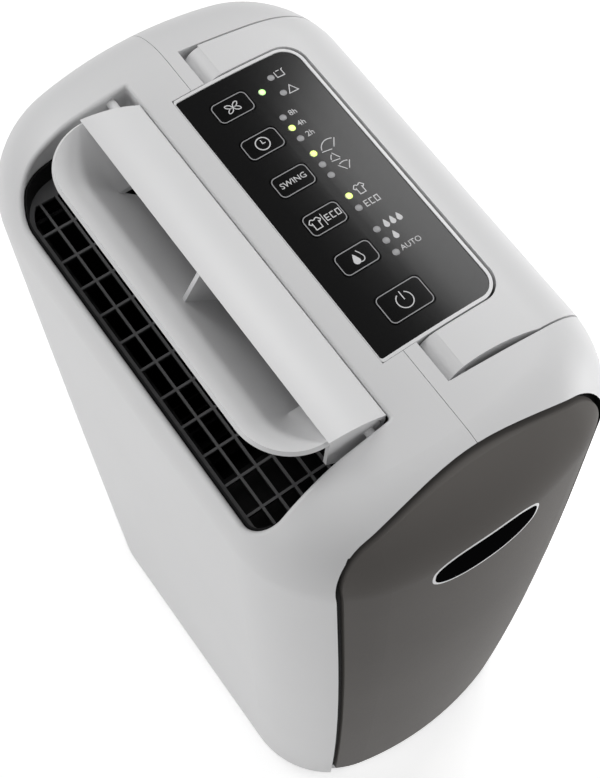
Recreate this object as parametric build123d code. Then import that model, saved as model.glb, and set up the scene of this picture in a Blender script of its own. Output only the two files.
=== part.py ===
from build123d import *
from functools import lru_cache
import math
import os

os.makedirs("parts", exist_ok=True)

# Body envelope, millimetres and degrees. Front faces -Y, the user's right is +X.
body_width = 207.0
body_depth = 326.0
body_height = 480.0
foot_height = 5.0
wall = 2.6
corner_radius = 63.0
front_bow_radius = 219.0
rear_bow_radius = 337.0
edge_radius = 45.0
deck_slope = 6.7
crown_radius = 460.0
front_taper = 13.5
rear_taper = 4.5
side_taper = 0.5
taper_start = 340.0
seam_x = 5.6
seam_gap = 0.3
fit_gap = 0.3
panel_gap = 3.4

# Front panel and its seat
panel_half_width = 80.3
panel_foot_half_width = 76.2
panel_top = 449.3
panel_arch_radius = 180.0
panel_bottom = 17.0
panel_top_radius = 30.0
panel_sink = 1.2
panel_wall = 2.4
panel_seat_y = 118.0
ledge_width = 8.0
ledge_wall = 2.5

# Air outlet recess, in deck coordinates x, v (towards the rear) and h (out of the deck)
recess_right = -19.2
recess_left = -95.5
recess_bend_x = -54.0
recess_front_right = -104.0
recess_front_bend = -106.2
recess_front_left = -113.0
recess_rear_right = 112.8
recess_rear_bend = 111.2
recess_rear_left = 104.0
recess_bend_radius = 150.0
recess_rear_radius = 26.0
recess_front_radius = 11.0
recess_sharp_radius = 1.5
recess_edge = 1.8
duct_wall = 1.6
duct_floor = -40.0
grille_top = -33.0
grille_thickness = 3.0
grille_bar = 1.3
grille_pitch_x = 9.15
grille_pitch_v = 17.7
grille_columns = 8
grille_rows = 12
grille_frame = 3.5
shelf_lip = 2.0
liner_top = -20.0
liner_wall = 1.2
liner_right = -58.0
grille_first_x = -83.1
grille_rear_v = 98.2
mouth_margin = 1.0

# Swing louvre, section in x and h
louvre_pivot_x = -29.0
louvre_pivot_h = -7.2
louvre_roll_radius = 9.7
louvre_edge_x = -52.6
louvre_edge_h = 12.3
louvre_lip_x = -80.0
louvre_lip_h = 11.0
louvre_foot_x = -41.0
louvre_foot_h = -26.0
louvre_front = -101.5
louvre_rear = 99.5
louvre_corner_x = -52.0
louvre_wall = 2.2
louvre_shaft_radius = 2.5
louvre_side_gap = 0.55
louvre_brow_h = -0.4
louvre_brow_radius = 1.2
louvre_crown = 2.4
shaft_clearance = 0.05
quadrant_teeth = 36
quadrant_hub = 0.35
swing_pinion_teeth = 12
swing_module = 1.0
swing_gear_width = 3.5
swing_gear_gap = 0.8
swing_motor_radius = 13.0
swing_motor_length = 14.0
swing_shaft_radius = 1.5

# Control pod, fascia and keys
pod_left = -5.8
pod_right = 66.5
pod_front = -80.6
pod_rear = 91.6
pod_radius = 12.0
pod_sharp_radius = 1.5
pod_floor = -26.0
pod_wall = 2.0
rim_width = 1.7
left_rim_width = 0.4
fascia_sink = 0.8
fascia_wall = 2.0
fascia_ledge = 2.5
key_x = 17.5
key_first_v = 72.8
key_pitch = 25.7
key_count = 5
key_length = 21.0
key_width = 13.2
power_x = 22.8
power_v = -60.3
power_length = 26.0
power_width = 16.7
key_radius = 3.0
key_gap = 0.35
key_flange = 1.2
key_flange_wall = 1.2
key_travel = 0.6
switch_size = 6.0
switch_height = 3.5
board_wall = 1.6
board_margin = 7.0
board_post = 6.0
stem_size = 4.0
board_h = -19.0
lamp_radius = 1.7
lamp_x = 35.0
lamp_rows = [72.8, 54.6, 47.1, 39.8, 29.0, 21.5, 14.3, -0.1, -8.1, -22.5, -29.9, -37.6]
warning_lamp_x = 44.2
warning_lamp_rows = [78.0, 67.1]

# Carry handle and the pocket that it folds into
pocket_left = 13.2
pocket_floor = -26.0
pocket_side_floor = -36.0
pocket_side_x = 67.2
handle_gap = 1.0
handle_front_left = -103.8
handle_front_right = -106.6
handle_bend_x = 67.0
handle_rear_left = 114.6
handle_right = 110.0
handle_rear_right = 106.1
notch_depth = 2.6
arm_radius = 9.5
handle_pivot_x = 23.8
handle_pivot_h = -10.2
grip_left = 68.2
grip_floor = -34.5
grip_wall = 5.0
pin_radius = 3.5
pin_clearance = 0.05

# Right-hand air intake
intake_y = -10.0
intake_z = 286.0
intake_length = 164.0
intake_height = 212.0
intake_radius = 12.0
intake_sink = 0.4
slot_length = 45.0
slot_height = 4.6
slot_pitch = 8.0
slot_columns = 3
slot_rows = 24
filter_wall = 4.0
filter_rim = 7.0

# Water tank drawer at the rear
tank_half_width = 82.0
tank_bottom = 14.0
tank_top = 152.0
tank_front = -118.0
tank_rear = 132.0
tank_mouth = 12.0
tank_radius = 10.0
tank_gap = 0.8
tank_wall = 2.4
scoop_half_width = 46.0
scoop_bottom = 96.0
scoop_top = 132.0
scoop_depth = 16.0
scoop_radius = 4.0
lid_wall = 2.6
float_size = 34.0
float_height = 16.0
float_reach = 46.0
float_pivot_y = -96.0
float_pivot_z = 128.0
float_pin_radius = 2.0
lever_half = 4.0
lug_half = 5.0
lug_wall = 3.5

# Base, shelf and feet
base_plate = 3.0
base_rim = 11.0
runner_width = 6.0
foot_radius = 11.0
foot_x = 66.0
foot_front_y = -104.0
foot_rear_y = 116.0
shelf_z = 158.0
shelf_wall = 4.0
shelf_rim = 8.0
shelf_ledge = 4.0
drain_y = -70.0
drain_radius = 7.0

# Process blower
blower_y = 5.0
blower_z = 262.0
blower_left = -92.0
blower_right = -30.0
scroll_wall = 2.0
scroll_near_radius = 80.0
scroll_far_radius = 92.0
wheel_radius = 62.0
wheel_inner_radius = 49.0
wheel_left = -86.0
wheel_right = -36.0
wheel_plate = 2.0
blade_count = 36
blade_wall = 1.2
blade_sweep = 9.0
hub_radius = 12.0
motor_radius = 30.0
motor_length = 32.0
motor_shaft_radius = 4.0
bracket_wall = 3.0
inlet_radius = 50.0
scroll_foot_half = 22.0

# Desiccant rotor and its drive
rotor_y = -25.0
rotor_z = 285.0
rotor_radius = 90.0
rotor_left = 31.0
rotor_thickness = 26.0
rotor_hub_radius = 14.0
rotor_hub_rise = 1.5
rotor_teeth = 72
drive_teeth = 12
drive_module = 2.6
tooth_width = 10.0
frame_left = 24.0
frame_right = 62.0
frame_front_y = -128.0
frame_rear_y = 84.0
frame_top_z = 392.0
frame_clearance = 1.6
axle_radius = 5.0
spoke_width = 9.0
spoke_wall = 3.0
drive_angle = 10.0
gear_motor_radius = 22.0
gear_motor_length = 18.0
drive_shaft_radius = 3.0

# Regeneration heater, fan and condenser
heater_inner = 24.0
heater_outer = 86.0
heater_spread = 60.0
heater_angle = 60.0
heater_depth = 11.0
heater_wall = 1.6
heater_rod_radius = 2.5
heater_rod_places = [38.0, 54.0, 70.0]
regen_y = 122.0
regen_z = 235.0
regen_left = 22.0
regen_width = 34.0
regen_radius = 24.0
regen_clearance = 3.0
regen_blades = 12
regen_hub_radius = 8.0
regen_inlet_radius = 14.4
regen_shaft_radius = 2.5
regen_motor_radius = 18.0
regen_motor_length = 20.0
spout_width = 24.0
condenser_left = 67.0
condenser_right = 89.0
condenser_front_y = -100.0
condenser_rear_y = 80.0
condenser_top_z = 384.0
condenser_fins = 20
condenser_gap = 5.0
condenser_header = 14.0

# Electronics and the lead's entry
board_y = -138.0
board_x = -24.0
board_half_width = 40.0
board_bottom_z = 176.0
board_top_z = 350.0
board_components = [(-22, 220, 26, 22), (14, 215, 18, 16), (20, 300, 30, 12), (-18, 310, 14, 18)]
gland_x = 62.0
gland_z = 184.0
gland_radius = 8.0
gland_bore = 3.5
gland_length = 14.0
gland_rise = 1.5
gland_collar = 2.5
gland_fit = 0.1
screw_radius = 2.0
boss_radius = 5.0
boss_half = 16.0
boss_levels = [190.0, 300.0, 410.0]
boss_inset = 12.0

slope = math.radians(deck_slope)
deck_z = body_height - math.tan(slope) * (body_depth / 2 - edge_radius)
deck = Plane(origin=(0, 0, deck_z), x_dir=(1, 0, 0), z_dir=(0, -math.sin(slope), math.cos(slope)))
reach = 2 * body_depth


def block(x, y, z):
    """Box between pairs of limits in the body's own axes."""
    size = (x[1] - x[0], y[1] - y[0], z[1] - z[0])
    return Pos((x[0] + x[1]) / 2, (y[0] + y[1]) / 2, (z[0] + z[1]) / 2) * Box(*size)


def deck_block(x, v, h):
    """Box between pairs of limits in deck coordinates."""
    return deck.location * block(x, v, h)


def deck_rod(x, h, v, radius):
    """Round rod along the deck from v[0] to v[1]."""
    return deck.location * Pos(x, (v[0] + v[1]) / 2, h) * Rot(90, 0, 0) * Cylinder(radius, v[1] - v[0])


def side_rod(x, y, z, radius):
    """Round rod across the body from x[0] to x[1]."""
    return Pos((x[0] + x[1]) / 2, y, z) * Rot(0, 90, 0) * Cylinder(radius, x[1] - x[0])


def rounded(points, radii):
    """Polygon with its own radius at each corner."""
    face = Polygon(*points, align=None)
    for point, radius in zip(points, radii):
        face = fillet(face.vertices().sort_by_distance(Vector(*point))[0], radius)
    return face


def plan_outline(inset, share):
    """Bowed, round-cornered plan section; share is 0 high up and 1 at the base."""
    half = body_width / 2 - inset - side_taper * share
    front = -body_depth / 2 - panel_sink + inset + front_taper * share
    rear = body_depth / 2 - inset - rear_taper * share
    front_radius = front_bow_radius - inset
    rear_radius = rear_bow_radius - inset
    section = Rectangle(2 * half, 2 * body_depth)
    section &= Pos(0, front + front_radius) * Circle(front_radius)
    section &= Pos(0, rear - rear_radius) * Circle(rear_radius)
    return fillet(section.vertices(), corner_radius - inset)


def taper_share(z):
    """How far the plan has drawn in at height z."""
    return max(0.0, (taper_start - z) / (taper_start - foot_height)) ** 2


@lru_cache
def hull(inset):
    """Solid body form, drawn in evenly by inset, open to the base plane."""
    middle = (foot_height + taper_start) / 2
    levels = [foot_height, middle, taper_start]
    lower = loft([Pos(0, 0, z) * plan_outline(inset, taper_share(z)) for z in levels])
    upper = extrude(Pos(0, 0, taper_start) * plan_outline(inset, 0), body_height)
    crown = Pos(0, 0, -crown_radius) * Rot(90, 0, 0) * Cylinder(crown_radius - inset, reach)
    upper &= deck.location * crown
    crest = upper.faces().sort_by(Axis.Z)[-1]
    upper = fillet(crest.outer_wire().edges(), edge_radius - inset)
    return lower + upper


def front_region(grow, low=0.0):
    """Prism through the arched front opening above the height low, widened by grow."""
    half, foot = panel_half_width + grow, panel_foot_half_width + grow
    middle, arch = panel_top - panel_arch_radius, panel_arch_radius + grow
    shoulder = middle + math.sqrt(arch**2 - half**2)
    lines = Line((-foot, low), (foot, low)) + Line((foot, low), (half, shoulder))
    lines += ThreePointArc((half, shoulder), (0, middle + arch), (-half, shoulder))
    lines += Line((-half, shoulder), (-foot, low))
    face = make_face(lines)
    face = fillet(face.vertices().sort_by(Axis.Y)[-2:], panel_top_radius + grow)
    return extrude(Plane.XZ.offset(panel_seat_y) * face, body_depth)


def recess_region(shrink, low, high):
    """Prism of the air outlet's outline, square to the deck."""
    points = [(recess_right, recess_front_right), (recess_right, recess_rear_right)]
    points += [(recess_bend_x, recess_rear_bend), (recess_left, recess_rear_left)]
    points += [(recess_left, recess_front_left), (recess_bend_x, recess_front_bend)]
    radii = [recess_sharp_radius, recess_sharp_radius, recess_bend_radius]
    radii += [recess_rear_radius, recess_front_radius, recess_bend_radius]
    outline = rounded(points, radii)
    if shrink:
        outline = offset(outline, -shrink)
    return extrude(deck * (Pos(0, 0, low) * outline), high - low, dir=deck.z_dir)


def pod_region(shrink, low, high):
    """Prism of the control pod's outline, square to the deck; the left side draws in less."""
    left = pod_left + max(0, shrink - rim_width + left_rim_width)
    points = [(left, pod_front + shrink), (pod_right - shrink, pod_front + shrink)]
    points += [(pod_right - shrink, pod_rear - shrink), (left, pod_rear - shrink)]
    round_radius = pod_radius - shrink
    radii = [pod_sharp_radius, round_radius, round_radius, pod_sharp_radius]
    return extrude(deck * (Pos(0, 0, low) * rounded(points, radii)), high - low, dir=deck.z_dir)


def intake_region(grow, x):
    """Prism through the right-hand intake, widened by grow."""
    outline = RectangleRounded(intake_length + 2 * grow, intake_height + 2 * grow, intake_radius + grow)
    return extrude(Plane.YZ.offset(x[0]) * Pos(intake_y, intake_z) * outline, x[1] - x[0])


def tank_region(shrink, y):
    """Prism of the tank drawer's outline from y[0] to y[1]."""
    width = 2 * (tank_half_width - shrink)
    height = tank_top - tank_bottom - 2 * shrink
    outline = RectangleRounded(width, height, tank_radius)
    middle = (tank_top + tank_bottom) / 2
    return extrude(Plane.XZ.offset(-y[1]) * Pos(0, middle) * outline, y[1] - y[0])


def handle_outline(left, grow):
    """Plan of the carry handle to the right of left, widened by grow."""
    points = [(pocket_left, handle_front_left), (handle_bend_x, handle_front_right)]
    points += [(handle_right, handle_front_right), (handle_right, handle_rear_right)]
    face = Polygon(*points, (pocket_left, handle_rear_left), align=None)
    if grow:
        face = offset(face, grow)
    return face & (Pos(left + reach, 0) * Rectangle(2 * reach, 2 * reach))


def deck_prism(face, low, high):
    """Prism of a plan face on the deck from low to high, square to the deck."""
    return extrude(deck * (Pos(0, 0, low) * face), high - low, dir=deck.z_dir)


def handle_pocket(grow):
    """Space under the carry handle and around the control pod, widened by grow."""
    far = body_width
    gap = handle_gap + grow
    arms = deck_prism(handle_outline(pocket_left - grow, gap), pocket_floor - grow, far)
    side = deck_prism(handle_outline(pocket_side_x - grow, gap), pocket_side_floor - grow, far)
    pod_v = (pod_front - fit_gap - grow, pod_rear + fit_gap + grow)
    pod = deck_block((pod_left - fit_gap - grow, pocket_side_x), pod_v, (pocket_floor - grow, far))
    return arms + side + pod


def boss_posts(radius):
    """Round posts across the seam, just inside the rear wall."""
    y = body_depth / 2 - boss_inset
    return [side_rod((seam_x - boss_half, seam_x + boss_half), y, z, radius) for z in boss_levels]


body_0 = hull(0)
body_wall = hull(wall)
body_panel_out = hull(panel_sink)
body_panel_in = hull(panel_sink + panel_wall)
body_ledge_out = hull(panel_sink + panel_wall + fit_gap)
body_ledge_in = hull(panel_sink + panel_wall + fit_gap + ledge_wall)
body_fascia_out = hull(fascia_sink)
body_fascia_in = hull(fascia_sink + fascia_wall)


def seat_ring(seat, rim, opening):
    """Ledge and raised rim round an opening; opening gives its prism widened by an amount."""
    outside = opening(wall)
    return [seat & (outside - opening(-ledge_width)), rim & (outside - opening(0))]


def body_shells():
    """Both moulded side shells with pocket, seats, shelf ledge and bosses, cut at the seam."""
    seat = body_ledge_out - body_ledge_in
    rim = body_0 - body_ledge_in
    side = (body_width / 4, body_width)

    def intake(grow):
        return intake_region(grow, side)

    def front(grow):
        return front_region(grow, foot_height + base_rim + fit_gap)

    ledge_z = (shelf_z - shelf_ledge, shelf_z)
    ledge = body_0 & block((-reach, reach), (-reach, reach), ledge_z)
    added = [body_0 & handle_pocket(wall), ledge - hull(wall + ledge_width)]
    added += seat_ring(seat, rim, front) + seat_ring(seat, rim, intake)
    rear_y = (body_depth / 2 - boss_inset, body_depth)
    for post, z in zip(boss_posts(boss_radius), boss_levels):
        web = block((seam_x - boss_half, seam_x + boss_half), rear_y, (z - wall / 2, z + wall / 2))
        added.append((post + web) & body_0)
    shell = (body_0 - body_wall) + added
    outlet = recess_region(0, -edge_radius, edge_radius)
    rimmed = body_0 - outlet
    rimmed = fillet(new_edges(body_0, outlet, combined=rimmed), recess_edge)
    cut = boss_posts(screw_radius) + [handle_pocket(0), body_0 - rimmed]
    cut += [front_region(0) - body_ledge_out, intake(0) - body_ledge_out]
    cut.append(tank_region(0, (body_depth / 4, body_depth)))
    cut += [deck_rod(handle_pivot_x, handle_pivot_h, v, pin_radius) for v in handle_pin_spans()]
    lead = Rot(90, 0, 0) * Cylinder(gland_radius, body_depth / 2)
    cut.append(Pos(gland_x, body_depth / 2, gland_z) * lead)
    shell -= cut
    all_y = (-reach, reach)
    left = shell & block((-reach, seam_x - seam_gap / 2), all_y, all_y)
    right = shell & block((seam_x + seam_gap / 2, reach), all_y, all_y)
    return left, right


def front_panel():
    """Convex dark front panel set just below the white rim."""
    return (body_panel_out - body_panel_in) & front_region(-panel_gap, panel_bottom)


def outlet_duct():
    """Open tub that lines the air outlet, with a mouth for the blower below."""
    tub = recess_region(-fit_gap - duct_wall, duct_floor - duct_wall, edge_radius)
    tub = (tub & hull(wall + fit_gap)) - recess_region(-fit_gap, duct_floor, edge_radius)
    mouth_x = (blower_left + scroll_wall + mouth_margin, blower_right - scroll_wall - mouth_margin)
    mouth_y = (blower_y - scroll_near_radius + mouth_margin, blower_y + scroll_far_radius - mouth_margin)
    tub -= deck_block(mouth_x, mouth_y, (2 * duct_floor, duct_floor + 1))
    reach_v = (2 * recess_front_left, 2 * recess_rear_right)
    tub -= deck_rod(louvre_pivot_x, louvre_pivot_h, reach_v, louvre_shaft_radius + shaft_clearance)
    roll_low = louvre_pivot_h - louvre_roll_radius - 1
    roll_v = (louvre_front - 1, louvre_rear + 1)
    tub -= deck_block((recess_right - 2 * duct_wall, 0), roll_v, (roll_low, edge_radius))
    shelf_low = grille_top - grille_thickness
    shelf = recess_region(-fit_gap, shelf_low - shelf_lip, shelf_low)
    shelf -= recess_region(shelf_lip - fit_gap, shelf_low - 2 * shelf_lip, shelf_low + 1)
    return tub + shelf


def outlet_grille():
    """Safety grille of thin bars in a plain frame."""
    low = grille_top - grille_thickness
    plate = recess_region(0, low, grille_top)
    window_x = grille_pitch_x - grille_bar
    window_v = grille_pitch_v - grille_bar
    middle_x = grille_first_x + grille_pitch_x * (grille_columns - 2) / 2
    middle_v = grille_rear_v - grille_pitch_v * grille_rows / 2
    windows = Sketch()
    for place in GridLocations(grille_pitch_x, grille_pitch_v, grille_columns, grille_rows):
        windows += place * Rectangle(window_x, window_v)
    holes = deck.location * Pos(middle_x, middle_v, low - 1) * extrude(windows, grille_thickness + 2)
    return plate - (holes & recess_region(grille_frame, low - 1, grille_top + 1))


def outlet_liner():
    """Thin upstanding liner round the left end of the outlet, standing on the grille's frame."""
    inside = recess_region(liner_wall, grille_top - 1, liner_top + 1)
    liner = recess_region(0, grille_top, liner_top) - inside
    left = deck_block((-reach, liner_right), (-reach, reach), (-reach, 0))
    return liner & left & hull(wall + 2 * fit_gap)


def section_plane(v):
    """Upright plane across the deck at v, with sketch axes x and h, facing the front."""
    return Plane(origin=(0, v, 0), x_dir=(1, 0, 0), z_dir=(0, -1, 0))


def about_pivot(radius, angle):
    """Point of the louvre's section at a radius and angle about its pivot."""
    turn = math.radians(angle)
    return louvre_pivot_x + radius * math.cos(turn), louvre_pivot_h + radius * math.sin(turn)


def louvre_roof_points():
    """Upper face of the louvre's roof: left edge, middle and brow."""
    edge = (louvre_edge_x, louvre_edge_h)
    brow = (recess_right - louvre_side_gap - louvre_brow_radius, louvre_brow_h)
    middle = ((brow[0] + edge[0]) / 2 - 0.6, (brow[1] + edge[1]) / 2 + louvre_crown)
    return edge, middle, brow


def louvre_roof():
    """Convex roof strip whose right edge turns down beside the deck and rolls round the pivot."""
    roll, inner = louvre_roll_radius, louvre_roll_radius - louvre_wall
    edge, middle, brow = louvre_roof_points()
    edge_in = (louvre_edge_x + 0.6, louvre_edge_h - louvre_wall)
    side_x = recess_right - louvre_side_gap
    brow_x, brow_h = brow[0], louvre_brow_h - louvre_brow_radius
    turn = louvre_brow_radius * math.sqrt(0.5)
    side_angle = math.degrees(math.acos((side_x - louvre_pivot_x) / roll))
    lines = ThreePointArc(edge, middle, brow)
    lines += ThreePointArc(brow, (brow_x + turn, brow_h + turn), (side_x, brow_h))
    lines += Line((side_x, brow_h), about_pivot(roll, side_angle))
    lines += ThreePointArc(about_pivot(roll, side_angle), about_pivot(roll, -30), about_pivot(roll, -75))
    lines += Line(about_pivot(roll, -75), about_pivot(inner, -75))
    lines += ThreePointArc(about_pivot(inner, -75), about_pivot(inner, 0), about_pivot(inner, 60))
    inside = (middle[0] + 0.4, middle[1] - louvre_wall)
    lines += ThreePointArc(about_pivot(inner, 60), inside, edge_in) + Line(edge_in, edge)
    return extrude(section_plane(louvre_rear) * make_face(lines), louvre_rear - louvre_front)


def louvre_floor_points():
    """Upper face of the louvre's lower plate: lip, middle and foot."""
    lip = (louvre_lip_x, louvre_lip_h)
    foot = (louvre_foot_x, louvre_foot_h)
    middle = ((lip[0] + foot[0]) / 2 + 1.2, (lip[1] + foot[1]) / 2 + 1.2)
    return lip, middle, foot


def louvre_floor():
    """Lower plate that rises to the lip and turns round both ends as a bowl."""
    lip, middle, foot = louvre_floor_points()
    drop = louvre_wall * math.sqrt(0.5)
    low = [(x - drop, h - drop) for x, h in (foot, middle, lip)]
    lines = ThreePointArc(lip, middle, foot) + Line(foot, low[0])
    lines += ThreePointArc(*low) + Line(low[2], lip)
    section = make_face(lines)
    far = 2 * abs(louvre_lip_x)
    outer = section & (Pos(louvre_corner_x - far / 2, 0) * Rectangle(far, far))
    radius = louvre_corner_x - louvre_lip_x + drop
    front, rear = louvre_front + radius, louvre_rear - radius
    floor = extrude(section_plane(rear) * section, rear - front)
    for v, side in ((front, 1), (rear, -1)):
        post = Axis((louvre_corner_x, v, 0), (0, 0, side))
        flank = section_plane(v) * outer
        floor += revolve(flank, post, 90)
        floor += extrude(flank.rotate(post, 90), louvre_edge_x - louvre_foot_x, dir=(-1, 0, 0))
    edge, crown, brow = louvre_roof_points()
    over = ThreePointArc(edge, crown, brow) + Line(brow, (brow[0], far)) + Line((brow[0], far), (edge[0], far))
    over = make_face(over + Line((edge[0], far), edge))
    return floor - extrude(section_plane(louvre_rear) * over, louvre_rear - louvre_front)


def louvre_web(v, left):
    """Partition between roof and floor at one station along the louvre, cut off at its left."""
    lip, middle, foot = louvre_floor_points()
    points = [(louvre_edge_x + 0.3, louvre_edge_h - 0.4), (middle[0] - 2.5, middle[1] + 0.5)]
    points += [(foot[0] - 0.6, foot[1] - 0.6), about_pivot(louvre_roll_radius - 0.5, -75)]
    points += [(louvre_pivot_x, louvre_pivot_h), about_pivot(louvre_roll_radius - 1, 60)]
    points += [((louvre_pivot_x + louvre_edge_x) / 2, louvre_edge_h - 4.6)]
    far = 2 * abs(louvre_lip_x)
    face = Polygon(*points, align=None) & (Pos(left + far / 2, 0) * Rectangle(far, far))
    return extrude(section_plane(v + louvre_wall / 2) * face, louvre_wall)


def swing_louvre():
    """One-piece swing louvre: roof, lip plate, three webs and its pivot stubs."""
    louvre = louvre_roof() + louvre_floor()
    ends = (louvre_front + louvre_wall / 2, louvre_rear - louvre_wall / 2)
    louvre += louvre_web((louvre_front + louvre_rear) / 2, 2 * louvre_lip_x)
    for v in ends:
        louvre += louvre_web(v, louvre_corner_x)
    louvre = deck.location * louvre
    front_stub = (recess_front_right - duct_wall - fit_gap, louvre_front + louvre_wall)
    rear_stub = (louvre_rear - louvre_wall, swing_gear_v()[1])
    for span in (front_stub, rear_stub):
        louvre += deck_rod(louvre_pivot_x, louvre_pivot_h, span, louvre_shaft_radius)
    for v in ends:
        span = (v - louvre_wall / 2, v + louvre_wall / 2)
        louvre += deck_rod(louvre_pivot_x, louvre_pivot_h, span, louvre_roll_radius - 3)
    return louvre


def gear_face(teeth, module, phase):
    """Gear outline with straight-flanked teeth; phase turns the first tooth."""
    pitch = 2 * math.pi / teeth
    middle = teeth * module / 2
    root, tip = middle - 1.15 * module, middle + 0.9 * module
    points = []
    for tooth in range(teeth):
        at = math.radians(phase) + tooth * pitch
        for radius, turn in ((root, -0.27), (tip, -0.12), (tip, 0.12), (root, 0.27)):
            points.append((radius * math.cos(at + turn * pitch), radius * math.sin(at + turn * pitch)))
    return Polygon(*points, align=None)


def duct_rear_v():
    """Outer face of the outlet duct's rear wall."""
    return recess_rear_right + fit_gap + duct_wall


def swing_gear_v():
    """Span of the swing gears behind the outlet's rear wall."""
    front = duct_rear_v() + swing_gear_gap
    return front, front + swing_gear_width


def swing_gear(face, x, h):
    """Gear on an axis along the deck at x and h, in the span of the swing gears."""
    span = swing_gear_v()
    plane = Plane(origin=(x, span[1], h), x_dir=(1, 0, 0), z_dir=(0, -1, 0))
    return deck.location * extrude(plane * face, span[1] - span[0])


def swing_center_h():
    """Height of the swing motor's axis below the louvre's axis."""
    return louvre_pivot_h - swing_module * (quadrant_teeth + swing_pinion_teeth) / 2


def louvre_quadrant():
    """Toothed quadrant on the louvre's rear stub."""
    face = gear_face(quadrant_teeth, swing_module, 0)
    radius = quadrant_teeth * swing_module
    wedge = Polygon((0, louvre_shaft_radius), (radius, -radius), (-radius, -radius), align=None)
    face = (face & wedge) + Circle(louvre_shaft_radius + quadrant_hub)
    face -= Circle(louvre_shaft_radius)
    return swing_gear(face, louvre_pivot_x, louvre_pivot_h)


def swing_pinion():
    """Pinion of the swing motor, meshing under the quadrant."""
    half_pitch = 180 / swing_pinion_teeth
    face = gear_face(swing_pinion_teeth, swing_module, half_pitch)
    face -= Circle(swing_shaft_radius + shaft_clearance)
    return swing_gear(face, louvre_pivot_x, swing_center_h())


def swing_motor():
    """Flat geared stepper motor behind the outlet duct, on a bridge to its wall."""
    front = swing_gear_v()[1] + 1
    span = (front, front + swing_motor_length)
    motor = deck_rod(louvre_pivot_x, swing_center_h(), span, swing_motor_radius)
    motor += deck_rod(louvre_pivot_x, swing_center_h(), (swing_gear_v()[0], front + 1), swing_shaft_radius)
    bridge_h = (swing_center_h() - 5, swing_center_h() + 4)
    for side in (-1, 1):
        x = louvre_pivot_x + side * (swing_motor_radius - 2)
        motor += deck_block((x - 2.5, x + 2.5), (duct_rear_v(), front + 4), bridge_h)
    return motor


def control_pod():
    """White tub that carries the fascia, with a thin rim left showing."""
    pod = pod_region(0, pod_floor, 60) & hull(fit_gap)
    pod -= pod_region(rim_width + fascia_ledge, pod_floor + pod_wall, 80)
    return pod - (pod_region(rim_width, pod_floor + pod_wall, 80) - body_fascia_in)


def key_places():
    """Middle, length and width of every key."""
    places = [(key_x, key_first_v - key_pitch * i, key_length, key_width) for i in range(key_count)]
    return places + [(power_x, power_v, power_length, power_width)]


def lamp_places():
    """Every indicator lamp's place on the deck."""
    return [(lamp_x, v) for v in lamp_rows] + [(warning_lamp_x, v) for v in warning_lamp_rows]


def key_prism(place, grow, low, high):
    """Rounded prism of one key's outline."""
    x, v, length, width = place
    outline = RectangleRounded(length + 2 * grow, width + 2 * grow, key_radius)
    return deck.location * Pos(x, v, low) * extrude(outline, high - low)


def control_fascia():
    """Glossy fascia that follows the crown, with key and lamp openings."""
    skin = body_fascia_out - body_fascia_in
    fascia = skin & pod_region(rim_width + fit_gap / 2, pod_floor, 60)
    for place in key_places():
        fascia -= key_prism(place, key_gap, -30, 30)
    for x, v in lamp_places():
        fascia -= deck.location * Pos(x, v, 0) * Cylinder(lamp_radius + 0.1, 60)
    return fascia


def switch_top():
    """Height of the switches' plungers."""
    return board_h + board_wall + switch_height


@lru_cache
def key_layer(inset):
    """The part of the drawn-in body under the fascia."""
    return hull(inset) & pod_region(0, pod_floor, 60)


def control_key(place):
    """Key cap flush with the fascia, with a retaining flange and a stem."""
    x, v, length, width = place
    under = fascia_sink + fascia_wall + fit_gap
    inside = key_layer(under + key_flange_wall)
    cap = (key_prism(place, 0, -20, 30) & key_layer(fascia_sink)) - inside
    flange = (key_prism(place, key_flange, -20, 30) & key_layer(under)) - inside
    half = stem_size / 2
    stem_h = (switch_top() + key_travel + fit_gap, -under)
    stem = deck_block((x - half, x + half), (v - half, v + half), stem_h)
    return cap + flange + stem


def control_board():
    """Circuit board under the fascia on four posts."""
    x_span = (pod_left + board_margin, pod_right - board_margin)
    v_span = (pod_front + board_margin, pod_rear - board_margin)
    board = deck_block(x_span, v_span, (board_h, board_h + board_wall))
    post_h = (pod_floor + pod_wall, board_h)
    for x in (x_span[0], x_span[1] - board_post):
        for v in (v_span[0], v_span[1] - board_post):
            board += deck_block((x, x + board_post), (v, v + board_post), post_h)
    return board


def tact_switches():
    """One push switch under every key."""
    h = (board_h + board_wall, switch_top())
    half = switch_size / 2
    switches = []
    for x, v, length, width in key_places():
        switches.append(deck_block((x - half, x + half), (v - half, v + half), h))
    return switches


def lamp_lenses():
    """Light guides from the board to the fascia."""
    rods = []
    for x, v in lamp_places():
        rod = deck.location * Pos(x, v, board_h + board_wall) * extrude(Circle(lamp_radius), 60)
        rods.append(rod & key_layer(fascia_sink))
    return rods


def handle_arms():
    """Spans of the front and rear handle arms along the deck at their hinge."""
    front = (handle_front_left, pod_front - handle_gap)
    return front, (pod_rear + handle_gap, handle_rear_left - 2 * handle_gap)


def handle_pin_spans():
    """Spans of the two handle pins, from the pocket wall into each arm."""
    front, rear = handle_arms()
    grip = 2 * (handle_gap + wall)
    return (front[0] - grip, front[1] - wall), (rear[0] + wall, rear[1] + grip)


def handle_notch():
    """Shallow finger notch along the front arm's outer edge."""
    start = Vector(pocket_left, handle_front_left)
    chord = Vector(handle_bend_x, handle_front_right) - start
    radius = chord.length**2 / (8 * notch_depth) + notch_depth / 2
    away = Vector(chord.Y, -chord.X).normalized()
    middle = start + chord * 0.5 + away * (radius - notch_depth)
    return deck.location * Pos(middle.X, middle.Y) * Cylinder(radius, 2 * body_width)


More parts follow.
